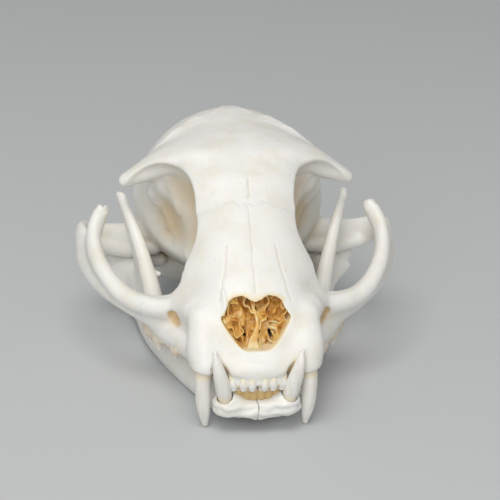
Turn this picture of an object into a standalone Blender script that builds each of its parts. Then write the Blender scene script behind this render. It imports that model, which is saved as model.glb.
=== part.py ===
"""Skull of an adult domestic cat with its lower jaw closed, at life size, resting on a flat surface.

The bones are shaped as masses of clay in skull axes and in millimetres: +X is the skull's left,
+Y runs back from the front of the upper jaw, and +Z runs up from the line of the upper tooth row.
An empty then tips the skull nose up until the lower jaw stands on the floor at z = 0.
"""
import math

import bmesh
import bpy
import numpy as np
import openvdb
from mathutils import Euler, Matrix, Vector

# ---- driving dimensions, in millimetres and degrees --------------------------------------------
ARCH_HALF_WIDTH = 34.7       # widest point of each zygomatic arch
BRAIN_HALF_WIDTH = 21.0
CANINE_X, CANINE_Y = 10.6, 5.0
CANINE_TIP_Z = -11.2
JAW_CANINE_X, JAW_CANINE_Y = 6.3, 3.0
JAW_CANINE_TIP_Z = 5.6
JAW_FLOOR_Z = -11.35         # lowest line of the jaw body, below the tooth line
JAW_FLOOR_Y = 24.0
ANGLE_TIP_Y, ANGLE_TIP_Z = 64.0, -8.8
ANGLE_TIP_RADIUS = 1.1
# x and z of half the nasal opening
NOSE_OUTLINE = ((0, 13.3), (1.1, 13.6), (2.4, 14.2), (4.0, 14.0), (5.1, 13.3), (5.6, 12.3), (6.3, 11.3),
                (6.8, 10.5), (6.0, 9.1), (4.6, 7.2), (3.2, 5.8), (1.8, 5.2), (0, 5.1))

MM = 0.001
GAP = 0.3                    # between neighbouring bones
SOCKET_GAP = 0.35            # round a canine's root, and between the closed jaws
VOXEL = 0.6                  # grain of the clay
TOOTH_VOXEL = 0.3
REACH = 7.0                  # how far from a surface its distance is known
FAR = 50.0
FLAT = 0.12                  # depth of the worn flats that the jaw stands on

# lowest and highest corners of the blocks of clay
SKULL_BLOCK = (-38, -2, -9), (38, 92, 40)
JAW_BLOCK = (-32, -2, -15), (32, 68, 25)
NOSE_BLOCK = (-8, 2, 2), (8, 24, 20)
CANINE_BLOCK = (3, -3, -14), (15, 10, 8)

# how many triangles each kind of piece keeps
TRIANGLES = {"arch": 500, "bulla": 200, "mandible": 1100, "canine": 170, "snout": 2100, "brow": 1300,
             "braincase": 1400, "turbinates": 440}

# the jaw stands on the undersides of its two bodies and on its two angular processes
TILT = math.degrees(math.atan2(ANGLE_TIP_Z - ANGLE_TIP_RADIUS - JAW_FLOOR_Z, ANGLE_TIP_Y - JAW_FLOOR_Y))

# ---- colours: sRGB, roughness -------------------------------------------------------------------
BONE = ("#efeee6", 0.55)
ENAMEL = ("#f2efe6", 0.3)
SCROLL = ("#cf9a45", 0.45)


# ---- simple solids, as points and triangles -----------------------------------------------------
def triangles(bm):
    bmesh.ops.triangulate(bm, faces=bm.faces)
    bm.verts.ensure_lookup_table()
    points = np.array([v.co[:] for v in bm.verts])
    faces = np.array([[v.index for v in f.verts] for f in bm.faces])
    bm.free()
    return points, faces


def ellipsoid(centre, radii, turn=(0, 0, 0), segments=64):
    bm = bmesh.new()
    bmesh.ops.create_uvsphere(bm, u_segments=segments, v_segments=segments // 2, radius=1)
    turn = Euler([math.radians(a) for a in turn])
    bm.transform(Matrix.LocRotScale(Vector(centre), turn, Vector(radii)))
    return triangles(bm)


def smooth_rows(rows, steps):
    """A smooth curve through rows of numbers, each row met exactly."""
    rows = np.array(rows, float)
    if len(rows) < 3:
        t = np.linspace(0, 1, steps + 1)[:, None]
        return rows[0] + (rows[1] - rows[0]) * t
    rows = np.vstack([2 * rows[0] - rows[1], rows, 2 * rows[-1] - rows[-2]])
    curve = []
    for a, b, c, d in zip(rows, rows[1:], rows[2:], rows[3:]):
        for t in np.linspace(0, 1, steps, endpoint=False):
            square, cube = 2 * a - 5 * b + 4 * c - d, 3 * b - a - 3 * c + d
            curve.append(0.5 * (2 * b + (c - a) * t + square * t ** 2 + cube * t ** 3))
    curve.append(rows[-2])
    return np.array(curve)


def unit(vectors):
    return vectors / np.linalg.norm(vectors, axis=1)[:, None]


def loft(rings):
    """A closed skin over a row of rings with the same number of points."""
    count, sides, _ = rings.shape
    here = np.arange(sides)
    after = (here + 1) % sides
    faces = []
    for i in range(count - 1):
        a, b = i * sides + here, i * sides + after
        faces += [np.stack([a, b, b + sides], 1), np.stack([a, b + sides, a + sides], 1)]
    points = np.vstack([rings.reshape(-1, 3), rings[0].mean(0), rings[-1].mean(0)])
    start, end, last = count * sides, count * sides + 1, (count - 1) * sides
    faces.append(np.stack([np.full(sides, start), after, here], 1))
    faces.append(np.stack([np.full(sides, end), last + here, last + after], 1))
    faces = np.vstack(faces)
    corners = points[faces]
    volume = np.einsum("ij,ij->i", corners[:, 0], np.cross(corners[:, 1], corners[:, 2])).sum()
    return points, faces if volume > 0 else faces[:, ::-1]


def superellipse(sides, power):
    turn = np.linspace(0, 2 * math.pi, sides, endpoint=False)
    wave = np.stack([np.cos(turn), np.sin(turn)])
    return np.sign(wave) * np.abs(wave) ** (2 / power)


def bar(stations, flat=(0, 0, 1), sides=28, steps=6):
    """A round-ended bar through stations (x, y, z, half size along flat, half size across)."""
    rows = smooth_rows(stations, steps)
    middle, along, across = rows[:, :3], rows[:, 3], rows[:, 4]
    flats = smooth_rows(flat, steps) if np.ndim(flat) == 2 else np.tile(flat, (len(rows), 1)).astype(float)
    heading = unit(np.gradient(middle, axis=0))
    u = unit(flats - (flats * heading).sum(1)[:, None] * heading)
    w = np.cross(heading, u)
    cap = np.array([0.4, 0.7, 0.9, 0.99])
    index = np.concatenate([[0] * 4, np.arange(len(rows)), [-1] * 4])
    bulge = np.concatenate([-cap[::-1], np.zeros(len(rows)), cap])
    shrink = np.sqrt(1 - bulge ** 2)
    end_radius = np.minimum(along, across)[index]
    middle = middle[index] + heading[index] * (bulge * end_radius)[:, None]
    cos, sin = superellipse(sides, 2)
    rings = (middle[:, None]
             + u[index][:, None] * ((along[index] * shrink)[:, None] * cos)[..., None]
             + w[index][:, None] * ((across[index] * shrink)[:, None] * sin)[..., None])
    return loft(rings)


def muzzle_loft(stations, sides=72, steps=5):
    """Upright sections along Y: (y, lowest z, highest z, half width low, half width high, power)."""
    rings = []
    for y, low, high, wide_low, wide_high, power in smooth_rows(stations, steps):
        cos, sin = superellipse(sides, power)
        rise = (sin + 1) / 2
        width = wide_low + (wide_high - wide_low) * rise
        rings.append(np.stack([cos * width, np.full(sides, y), low + (high - low) * rise], 1))
    return loft(np.array(rings))


def mirrored(solid):
    points, faces = solid
    return points * (-1, 1, 1), faces[:, ::-1]


# ---- clay ---------------------------------------------------------------------------------------
class Clay:
    """A block of space that holds the distance to the surface, inside below zero."""

    def __init__(self, low, high, voxel=VOXEL):
        self.voxel = voxel
        self.first = np.floor(np.array(low) / voxel).astype(int)
        shape = np.ceil(np.array(high) / voxel).astype(int) - self.first + 1
        self.distance = np.full(tuple(shape), FAR, np.float32)

    def measured(self, solid):
        """The distance to a solid, and the part of the block that it covers."""
        points, faces = solid
        band = REACH / self.voxel
        field = openvdb.FloatGrid.createLevelSetFromPolygons(
            points.astype(np.float32), triangles=faces.astype(np.uint32),
            transform=openvdb.createLinearTransform(self.voxel), exBandWidth=band, inBandWidth=band)
        low = np.floor(points.min(0) / self.voxel - band).astype(int)
        high = np.ceil(points.max(0) / self.voxel + band).astype(int)
        low = np.maximum(low, self.first)
        high = np.minimum(high, self.first + self.distance.shape - 1)
        values = np.empty(tuple(high - low + 1), np.float32)
        field.copyToArray(values, ijk=tuple(int(i) for i in low))
        return values, tuple(slice(a, b + 1) for a, b in zip(low - self.first, high - self.first))

    def add(self, solid, fillet=0.5, both=False):
        """Weld a solid on, with a fillet. Both adds its mirror image too."""
        for piece in (solid, mirrored(solid)) if both else (solid,):
            values, where = self.measured(piece)
            old = self.distance[where]
            near = np.maximum(fillet - np.abs(old - values), 0) / fillet
            self.distance[where] = np.minimum(old, values) - near ** 3 * fillet / 6

    def cut(self, solid, fillet=0.5, both=False, grow=0.0):
        """Carve a solid out, grown by a clearance, with a rounded edge."""
        for piece in (solid, mirrored(solid)) if both else (solid,):
            values, where = self.measured(piece)
            old, values = self.distance[where], grow - values
            near = np.maximum(fillet - np.abs(old - values), 0) / fillet
            self.distance[where] = np.maximum(old, values) + near ** 3 * fillet / 6

    def clear(self, other, gap):
        """Carve away whatever comes closer than a gap to another block on the same grid."""
        low = np.maximum(self.first, other.first)
        high = np.minimum(self.first + self.distance.shape, other.first + other.distance.shape)
        mine = tuple(slice(a, b) for a, b in zip(low - self.first, high - self.first))
        theirs = tuple(slice(a, b) for a, b in zip(low - other.first, high - other.first))
        self.distance[mine] = np.maximum(self.distance[mine], gap - other.distance[theirs])

    def behind(self, plane, gap=GAP):
        """A copy that keeps only what lies behind a plane, half a gap clear of it."""
        point, normal = plane
        normal = np.array(normal, float) / np.linalg.norm(normal)
        axes = [(self.first[i] + np.arange(n)) * self.voxel for i, n in enumerate(self.distance.shape)]
        x, y, z = np.meshgrid(*axes, indexing="ij", sparse=True)
        height = (x - point[0]) * normal[0] + (y - point[1]) * normal[1] + (z - point[2]) * normal[2]
        kept = Clay.__new__(Clay)
        kept.voxel, kept.first = self.voxel, self.first
        kept.distance = np.maximum(self.distance, height + gap / 2).astype(np.float32)
        return kept

    def without(self, other):
        """A copy with another block of the same size taken away."""
        kept = Clay.__new__(Clay)
        kept.voxel, kept.first = self.voxel, self.first
        kept.distance = np.maximum(self.distance, GAP - other.distance)
        return kept

    def surface(self):
        limit = 3 * self.voxel
        field = openvdb.FloatGrid(limit)
        field.copyFromArray(np.clip(self.distance, -limit, limit), ijk=tuple(int(i) for i in self.first))
        field.transform = openvdb.createLinearTransform(self.voxel)
        points, _, quads = field.convertToPolygons()
        return points, quads


# ---- bones ----------------------------------------------------------------------------------------
# cheek teeth: x, y of the crown's middle, turn from the midline, length, width, height, and cusps
# as (place along the crown from -1 to 1, share of the height, share of the length)
THREE_CUSPS = ((-0.05, 1.0, 0.6), (-0.7, 0.45, 0.34), (0.66, 0.5, 0.42))
UPPER_CHEEK_TEETH = (
    (12.9, 12.6, 10, 1.6, 1.3, 1.3, ((0, 1, 1),)),
    (15.2, 17.6, 20, 5.6, 2.4, 2.8, THREE_CUSPS),
    (18.6, 25.4, 24, 10.2, 2.8, 3.9, ((-0.22, 1, 0.42), (-0.74, 0.42, 0.3), (0.55, 0.7, 0.5))),
    (18.0, 31.6, 70, 3.2, 1.8, 1.0, ((0, 1, 1),)))
LOWER_CHEEK_TEETH = (
    (9.2, 15.4, 20, 4.8, 1.9, 3.0, THREE_CUSPS),
    (11.6, 21.4, 20, 6.2, 2.2, 3.8, THREE_CUSPS),
    (14.4, 28.8, 21, 7.8, 2.3, 4.2, ((-0.42, 0.92, 0.56), (0.42, 1, 0.56))))
UPPER_GUM_Z, LOWER_GUM_Z = 0.5, -4.4
# incisors: x, y, half width, height
UPPER_INCISORS = ((1.25, 0.6, 0.78, 3.1), (2.95, 1.0, 0.82, 3.2), (4.85, 2.0, 0.98, 3.5))
LOWER_INCISORS = ((0.74, 2.4, 0.78, 3.9), (2.2, 2.6, 0.8, 4.0), (3.7, 3.1, 0.82, 4.0))
UPPER_INCISOR_GUM_Z, LOWER_INCISOR_GUM_Z = 0.4, -5.4


def cheek_teeth(clay, teeth, gum, way):
    """Way is -1 for crowns that point down and 1 for crowns that point up."""
    for x, y, turn, length, width, height, cusps in teeth:
        row = np.array([math.sin(math.radians(turn)), math.cos(math.radians(turn)), 0])
        for place, tall, share in cusps:
            foot = np.array([x, y, gum]) + row * place * length / 2
            rise = np.array([0, 0, height * tall * way])
            half = length * share / 2
            clay.add(bar([(*(foot - (0, 0, 1.2 * way)), half, 0.42 * width),
                          (*(foot + 0.25 * rise), 0.95 * half, 0.5 * width),
                          (*(foot + 0.70 * rise), 0.5 * half, 0.3 * width),
                          (*(foot + 0.97 * rise), 0.14 * half, 0.12 * width)], flat=row), 0.5, both=True)


def incisors(clay, teeth, gum, way):
    for x, y, half, height in teeth:
        crown = [(x, y + 1.3, gum - way, half, half), (x, y, gum + 0.4 * height * way, half, 0.8 * half),
                 (x, y + 0.1, gum + 0.8 * height * way, 0.8 * half, 0.6 * half)]
        clay.add(bar(crown, flat=(1, 0, 0)), 0.3, both=True)


def upper_canine():
    x, y, tip = CANINE_X, CANINE_Y, CANINE_TIP_Z
    return bar([(x - 0.4, y + 1.0, 3, 2.2, 1.8), (x, y, 0, 2.2, 1.72),
                (x + 0.1, y - 0.4, 0.35 * tip, 1.95, 1.6), (x - 0.1, y - 0.3, 0.7 * tip, 1.5, 1.35),
                (x - 0.45, y + 0.1, tip, 0.7, 0.65)], flat=(0, 1, 0))


def lower_canine():
    x, y, tip = JAW_CANINE_X, JAW_CANINE_Y, JAW_CANINE_TIP_Z
    return bar([(x - 0.7, y + 1.1, -7.4, 1.9, 1.35), (x, y, -5, 2.1, 1.5),
                (x + 0.9, y - 1.4, -1, 1.8, 1.55), (x + 1.8, y - 2.1, 0.5 * tip, 1.15, 1.1),
                (x + 2.4, y - 1.7, tip, 0.5, 0.5)], flat=(0, 1, 0))


def model_braincase(clay):
    wide = BRAIN_HALF_WIDTH
    clay.add(ellipsoid((0, 60, 19.2), (19.6, 21, 18.4)))
    clay.add(ellipsoid((0, 67.5, 15.4), (wide, 18.5, 15.4)), 7)
    clay.add(ellipsoid((0, 74, 14.0), (17.6, 14.0, 14.6)), 4)
    clay.add(ellipsoid((0, 48.5, 20.6), (17.0, 18.5, 16.2)), 6)


def model_face(clay):
    clay.add(muzzle_loft([
        (0.9, 0.4, 2.2, 4.6, 4.0, 2.4), (2.6, -0.4, 4.4, 7.4, 6.8, 2.4), (4.6, -0.8, 7.4, 9.8, 8.6, 2.5),
        (7.0, -1.0, 11.4, 11.6, 9.2, 2.5), (9.4, -1.0, 14.8, 12.4, 9.0, 2.5),
        (12, -1.0, 17.4, 13.6, 9.6, 2.7), (16, -1.0, 20.4, 15.6, 10.4, 2.7),
        (20, -1.0, 23.4, 18.4, 11.4, 2.6), (25, -0.8, 27.0, 21.0, 10.2, 2.9),
        (29.5, -0.4, 30.2, 20.6, 11.2, 3.0), (33, 1.0, 32.6, 14.0, 13.6, 3.0),
        (38, 3.0, 34.5, 9.6, 15.6, 2.9), (43, 3.6, 34.8, 8.6, 14.4, 2.5),
        (48, 4.0, 34.8, 8.4, 12.4, 2.2), (54, 3.0, 33.0, 8.4, 10.0, 2.2)]), 4)
    postorbital = [(4, 47, 32.4, 8.5, 2.6), (10, 46.8, 33.0, 7.9, 2.2), (15.5, 46.8, 30.9, 6.2, 2.6),
                   (20.2, 47.2, 28.3, 3.8, 2.1), (23.9, 47.6, 26.3, 1.8, 1.3)]
    clay.add(bar(postorbital, flat=(0, 1, -0.12)), 6, both=True)
    temporal_line = [(15.5, 53, 31.0, 1.0, 1.2), (12, 56, 33.4, 1.2, 1.4), (8, 59.5, 35.0, 1.0, 1.2)]
    clay.add(bar(temporal_line), 4, both=True)
    alveolar_ridge = [(11.2, 9, 1.6, 2.2, 1.6), (12.6, 13, 1.6, 2.2, 1.6), (14.8, 18, 1.8, 2.4, 1.7),
                      (18.0, 25, 2.0, 2.6, 1.8), (18.6, 31, 2.6, 2.2, 1.7)]
    clay.add(bar(alveolar_ridge), 4, both=True)


def carve_orbits_and_palate(clay):
    clay.cut(ellipsoid((23.9, 34.0, 20.2), (13.7, 12.8, 12.9)), 0.8, both=True)
    clay.cut(ellipsoid((20.2, 30.0, 20.0), (11.0, 11.5, 12.0)), 0.8, both=True)
    clay.cut(ellipsoid((18.2, 36.6, 21.6), (11.0, 11.6, 11.6)), 0.8, both=True)
    clay.cut(ellipsoid((19.5, 38.5, 18.5), (11.4, 10.0, 12.0)), 0.8, both=True)
    clay.cut(ellipsoid((16.4, 27.8, 13.2), (6.8, 8.3, 7.0)), 0.8, both=True)
    clay.cut(ellipsoid((20.5, 43.5, 14.5), (9.6, 12.0, 10.4)), 3.0, both=True)
    clay.cut(ellipsoid((0, 23, -3.6), (12.5, 19, 4.6)), 2.0)


def model_muzzle_front(clay):
    process_edge = [(13, 44.8, 30.4, 1.0, 1.0), (16.4, 45.8, 29.4, 1.3, 1.3), (18.4, 46.3, 28.4, 1.4, 1.3),
                    (21, 46.8, 27.5, 1.2, 1.1), (23.2, 47.4, 26.6, 0.9, 0.9)]
    clay.add(bar(process_edge), 2.5, both=True)
    canine_jugum = [(10.3, 5.3, 1.2, 3.2, 2.8), (10.7, 7.2, 5.2, 3.0, 2.9), (10.9, 10.4, 9.4, 2.0, 2.1)]
    cheek_root = [(12.0, 14.2, 9.6, 1.9, 2.0), (13.2, 18.4, 8.8, 1.8, 2.0)]
    clay.add(bar(canine_jugum, flat=(0, 1, 0.3)), 5, both=True)
    clay.add(bar(cheek_root), 5, both=True)
    alveolar_arch = ellipsoid((11.0, 5.2, -4.4), (6.2, 5.4, 5.6))
    clay.cut(alveolar_arch, 0.8, both=True)
    clay.add(bar([(-6.2, 3.6, 1.5, 2.0, 1.5), (0, 2.0, 1.2, 2.1, 1.7), (6.2, 3.6, 1.5, 2.0, 1.5)]), 1.5)


def model_arches(clay):
    wide = ARCH_HALF_WIDTH - 1.4
    lean = [(0.30, 0, -1)] * 6 + [(0.12, 0, -1)] * 3 + [(0, 0, -1)] * 4
    clay.add(bar([
        (13.0, 24, 5.0, 4.8, 4.0), (18.4, 24.4, 5.3, 3.5, 2.3), (23.4, 27.4, 6.1, 2.5, 1.4),
        (27.8, 32.4, 7.6, 2.6, 1.3), (31.0, 38.2, 9.8, 3.3, 1.3), (wide - 0.7, 43.6, 11.8, 3.7, 1.3),
        (wide, 48.4, 13.2, 3.0, 1.3), (wide - 0.1, 53, 12.8, 2.5, 1.3), (31.8, 57, 11.0, 2.8, 1.5),
        (27.8, 59.6, 9.0, 3.3, 2.0), (22.6, 61.2, 8.4, 3.4, 3.0), (18, 62.6, 9.0, 3.2, 4.2),
        (13, 63.6, 9.2, 4.0, 5.0)], flat=lean), 2.5, both=True)
    orbital_rim = [(12.2, 19.6, 11.6, 0.7, 0.8), (14.0, 20.2, 9.2, 1.3, 1.3), (17.0, 20.8, 7.7, 1.7, 1.6),
                   (21.4, 23.4, 7.4, 1.9, 1.8), (25.6, 27.2, 8.4, 1.8, 1.8), (28.8, 32.2, 10.9, 1.7, 1.7),
                   (30.6, 37.4, 13.4, 2.0, 1.6),
                   (30.9, 41.6, 16.0, 2.2, 1.6), (29.9, 44.4, 18.6, 2.0, 1.6), (28.9, 45.8, 20.2, 1.6, 1.4)]
    clay.add(bar(orbital_rim), 3, both=True)


def model_skull_base(clay):
    socket_back = [(14, 64.6, 4.0, 2.4, 1.2), (20, 64.6, 3.8, 2.6, 1.0), (25.6, 63.8, 5.6, 2.0, 0.9)]
    clay.add(bar(socket_back), 2, both=True)
    clay.cut(bar([(12.5, 61.2, 3.6, 2.5, 2.5), (28.5, 60.4, 4.6, 2.5, 2.5)]), 1, both=True)
    socket_lip = [(17, 58.8, 6.6, 1.5, 1.3), (23, 58.4, 6.4, 1.6, 1.3), (29, 57.4, 8.0, 1.5, 1.2)]
    clay.add(bar(socket_lip), 1.5, both=True)
    skull_floor = [(0, 38, 8, 2.6, 4.4), (0, 52, 6.0, 2.6, 4.8), (0, 64, 3.6, 2.4, 6.0),
                   (0, 84, 3.0, 2.2, 7.0)]
    clay.add(bar(skull_floor), 3)
    pterygoid = [(6.8, 33, 3.4, 3.0, 1.4), (5.8, 41, 3.0, 3.2, 0.8), (5.2, 48, 2.6, 2.8, 0.7),
                 (5.0, 53.5, 0.4, 1.2, 0.7)]
    clay.add(bar(pterygoid), 1.5, both=True)
    clay.cut(bar([(0, 35, 5.0, 2.2, 3.6), (0, 41, 3.6, 3.2, 4.2), (0, 50, 1.6, 3.0, 4.0)]), 1.0)
    clay.add(ellipsoid((17.2, 75.6, 5.4), (2.4, 3.6, 5.0)), 2, both=True)
    clay.add(ellipsoid((6.0, 84.6, 4.2), (3.0, 3.2, 4.6), (20, 0, 20)), 2.0, both=True)


def model_crests(clay):
    half = [(17.0, 77.0, 8.5, 1.3, 1.0), (16.4, 80, 14.5, 1.3, 0.9), (12.8, 84.0, 20.6, 1.3, 0.8),
            (6, 86.2, 23.8, 1.3, 0.9), (0, 87.0, 24.8, 1.3, 1.0)]
    other_half = [(-x, *rest) for x, *rest in half[-2::-1]]
    clay.add(bar(half + other_half, flat=(0, 1, 0.7)), 4)
    sagittal = [(0, 62, 35.6, 0.8, 1.0), (0, 72, 33.4, 0.8, 0.8), (0, 80, 29.4, 0.8, 0.8),
                (0, 86, 25.0, 1.0, 0.9)]
    clay.add(bar(sagittal), 4)


def nose_hollow():
    half = smooth_rows(NOSE_OUTLINE, 6)
    outline = np.vstack([half, half[-2:0:-1] * (-1, 1)])
    rings = [[(x * wider, y, 10 + (z - 10) * wider) for x, z in outline]
             for y, wider in ((-1, 1), (10, 1.02), (20, 1.15))]
    return loft(np.array(rings))


def carve_openings(clay):
    foramen_magnum = ellipsoid((0, 85.5, 6.4), (5.4, 8, 4.6), (15, 0, 0))
    brain_pocket = ellipsoid((0, 76, 8.6), (8.6, 10, 6.0))
    clay.cut(foramen_magnum, 0.8)
    clay.cut(brain_pocket, 1.5)
    clay.cut(nose_hollow(), 0.4)
    infraorbital = [(15.6, 18.4, 6.4, 1.6, 1.4), (16.0, 20.6, 6.7, 1.3, 1.1)]
    clay.cut(bar(infraorbital, flat=(0.2, 0, 1)), 0.8, both=True)


def model_bullae(clay):
    clay.add(ellipsoid((11.0, 70.5, 1.8), (6.2, 10.4, 6.9), (0, 0, -14)), 0.5, both=True)
    clay.cut(bar([(12, 69, 6.0, 2.1, 2.4), (22, 67.8, 7.0, 2.3, 2.7)]), 0.8, both=True)


def model_mandible(clay):
    body = [(4.4, 4.4, -6.6, 2.2, 3.6), (5.2, 7.6, -7.4, 2.9, 3.3), (7.6, 13, -7.8, 3.5, 2.6),
            (10.4, 20, -7.6, 3.75, 2.4), (13.6, 28, -7.3, 3.95, 2.2), (16.4, 36, -6.6, 4.2, 2.1),
            (18.6, 44, -5.8, 4.6, 2.0), (20.0, 52, -5.2, 4.0, 1.8), (20.6, 58, -5.6, 2.8, 1.6)]
    clay.add(bar(body), 0.5, both=True)
    clay.add(ellipsoid((0, 6.2, -6.3), (6.8, 5.4, 2.2), (24, 0, 0)), 2)
    clay.add(bar([(-6.0, 3.6, -6.4, 1.6, 1.8), (0, 2.1, -7.1, 1.6, 1.8), (6.0, 3.6, -6.4, 1.6, 1.8)]), 1.5)
    canine_root = ellipsoid((5.9, 3.4, -6.0), (2.9, 3.3, 2.4), (0, 20, 0))
    clay.add(canine_root, 3, both=True)
    coronoid_plate = [(19.4, 49, -5, 9.6, 1.5), (19.8, 49.4, -1, 8.8, 1.0), (20.6, 50.2, 5, 6.2, 0.9),
                      (22.4, 52.2, 13, 3.8, 0.9), (24.8, 55.4, 20.4, 1.4, 0.8)]
    clay.add(bar(coronoid_plate, flat=(0.12, 1, 0)), 1.5, both=True)
    coronoid_edge = [(17.0, 38.0, -5, 2.0, 2.1), (18.4, 41.5, 3, 1.7, 1.9), (20.9, 46.4, 12, 1.3, 1.4),
                     (24.4, 53.6, 20.6, 0.85, 0.85)]
    clay.add(bar(coronoid_edge, flat=(0, 1, 0)), 1.2, both=True)
    clay.add(bar([(15.4, 62.0, 2.6, 1.6, 1.6), (26.4, 61.0, 3.6, 1.7, 1.7)]), 1, both=True)
    clay.add(bar([(20.6, 56, -3, 3.6, 1.4), (21.6, 60, 1.6, 2.6, 2.6)], flat=(0, 1, 0)), 2, both=True)
    ramus_wall = [(23.6, 59.8, 2.6, 4.4, 1.4), (21.6, 58.4, -1.8, 2.8, 1.4), (20.6, 56.4, -6.0, 2.4, 1.6)]
    clay.add(bar(ramus_wall, flat=(1, 0, 0)), 2, both=True)
    angle = [(20.0, 54, -6.4, 2.4, 1.6), (20.2, 59.6, -7.8, 1.8, 1.3),
             (19.6, ANGLE_TIP_Y, ANGLE_TIP_Z, ANGLE_TIP_RADIUS, 0.9)]
    clay.add(bar(angle), 2, both=True)
    masseteric_fossa = ellipsoid((24.0, 49.5, 1.0), (3.6, 7.5, 6.4), (0, 0, -6))
    clay.cut(masseteric_fossa, 1.2, both=True)
    cheek_teeth(clay, LOWER_CHEEK_TEETH, LOWER_GUM_Z, 1)
    incisors(clay, LOWER_INCISORS, LOWER_INCISOR_GUM_Z, 1)


def model_turbinates(clay):
    """The rolled bones inside the nose: a septum with three scrolls on each side."""
    clay.add(bar([(0, 8.4, 9.0, 3.4, 0.6), (0, 17, 11.2, 4.6, 0.6)]), 0.3)
    for x, y, z, radius in ((2.6, 10.8, 12.0, 1.5), (3.6, 8.8, 9.6, 1.6), (1.8, 6.8, 6.8, 1.2)):
        scroll = [(x, y, z, radius, radius), (x, 17, z + 1.2, radius + 0.6, radius + 0.6)]
        clay.add(bar(scroll), 0.6, both=True)
    clay.add(bar([(0, 15.6, 11.0, 4.6, 4.2), (0, 18, 11.4, 4.8, 4.6)]), 1.0)


# ---- objects --------------------------------------------------------------------------------------
def srgb(code):
    channels = [int(code[i:i + 2], 16) / 255 for i in (1, 3, 5)]
    return [c / 12.92 if c <= 0.04045 else ((c + 0.055) / 1.055) ** 2.4 for c in channels] + [1]


def material(name, finish):
    colour, roughness = finish
    made = bpy.data.materials.new(name)
    made.use_nodes = True
    shader = made.node_tree.nodes["Principled BSDF"]
    shader.inputs["Base Color"].default_value = srgb(colour)
    shader.inputs["Roughness"].default_value = roughness
    shader.inputs["Metallic"].default_value = 0
    return made


def place(name, clay, finish, triangle_count, collection, parent, side=1):
    """Skin the clay, thin its triangles out and put the piece under the tipping empty.

    Side is -1 for the mirror image of the clay."""
    points, quads = clay.surface()
    if side < 0:
        points, quads = mirrored((points, quads))
    mesh = bpy.data.meshes.new(name)
    mesh.from_pydata((points * MM).tolist(), [], quads.tolist())
    mesh.shade_smooth()
    mesh.materials.append(material(name, finish))
    piece = bpy.data.objects.new(name, mesh)
    piece.parent = parent
    collection.objects.link(piece)
    thin = piece.modifiers.new("fewer_triangles", "DECIMATE")
    thin.ratio = min(1, triangle_count / (2 * len(quads)))
    thin.use_collapse_triangulate = True
    return piece


def opposite(plane):
    point, normal = plane
    return point, tuple(-n for n in normal)


def stand_on_floor(parent, pieces):
    """Tip the skull onto its jaw, with the middle of its footprint at the origin."""
    parent.rotation_euler.x = -math.radians(TILT)
    bpy.context.view_layer.update()
    ready = bpy.context.evaluated_depsgraph_get()
    corners = []
    for piece in pieces:
        mesh = piece.evaluated_get(ready).to_mesh()
        corners += [piece.matrix_world @ v.co for v in mesh.vertices]
    low = [min(c[i] for c in corners) for i in range(3)]
    high = [max(c[i] for c in corners) for i in range(3)]
    parent.location = (-(low[0] + high[0]) / 2, -(low[1] + high[1]) / 2, -low[2])


# ---- the clay, each bone carved clear of its neighbours --------------------------------------------
def make_jaw():
    jaw = Clay(*JAW_BLOCK)
    model_mandible(jaw)
    jaw.cut(lower_canine(), 0.3, both=True, grow=SOCKET_GAP)
    jaw.cut(upper_canine(), 0.3, both=True, grow=SOCKET_GAP)
    slope = math.tan(math.radians(TILT))
    floor = (0, JAW_FLOOR_Y, JAW_FLOOR_Z + FLAT), (0, slope, -1)
    return jaw.behind(floor, gap=0)


def make_cranium(jaw):
    cranium = Clay(*SKULL_BLOCK)
    model_braincase(cranium)
    model_face(cranium)
    carve_orbits_and_palate(cranium)
    model_muzzle_front(cranium)
    model_arches(cranium)
    model_skull_base(cranium)
    model_crests(cranium)
    carve_openings(cranium)
    cheek_teeth(cranium, UPPER_CHEEK_TEETH, UPPER_GUM_Z, -1)
    incisors(cranium, UPPER_INCISORS, UPPER_INCISOR_GUM_Z, -1)
    cranium.cut(upper_canine(), 0.3, both=True, grow=SOCKET_GAP)
    cranium.cut(lower_canine(), 0.5, both=True, grow=0.5)
    cranium.clear(jaw, SOCKET_GAP)
    return cranium


def make_turbinates(cranium):
    turbinates = Clay(*NOSE_BLOCK)
    model_turbinates(turbinates)
    turbinates.clear(cranium, SOCKET_GAP)
    return turbinates


def make_canine(solid):
    canine = Clay(*CANINE_BLOCK, voxel=TOOTH_VOXEL)
    canine.add(solid)
    return canine


# the planes that part the bones: a point, and a normal that points out of the bone in front
SNOUT_BACK = (0, 26.5, 29.0), (0, 29.0, 8.5)
BROW_BACK = (0, 57.0, 38.0), (0, 33.0, -7.0)
ARCH_ROOT_X, ARCH_TOP_Z, ARCH_BOTTOM_Z = 22.0, 24.2, 2.4

for old in list(bpy.data.objects):
    bpy.data.objects.remove(old)
skull = bpy.data.collections.new("cat_skull")
bpy.context.scene.collection.children.link(skull)
rest = bpy.data.objects.new("resting_pose", None)
skull.objects.link(rest)

jaw = make_jaw()
cranium = make_cranium(jaw)
turbinates = make_turbinates(cranium)
bullae = Clay(*SKULL_BLOCK)
model_bullae(bullae)
core = cranium.without(bullae)

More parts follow.
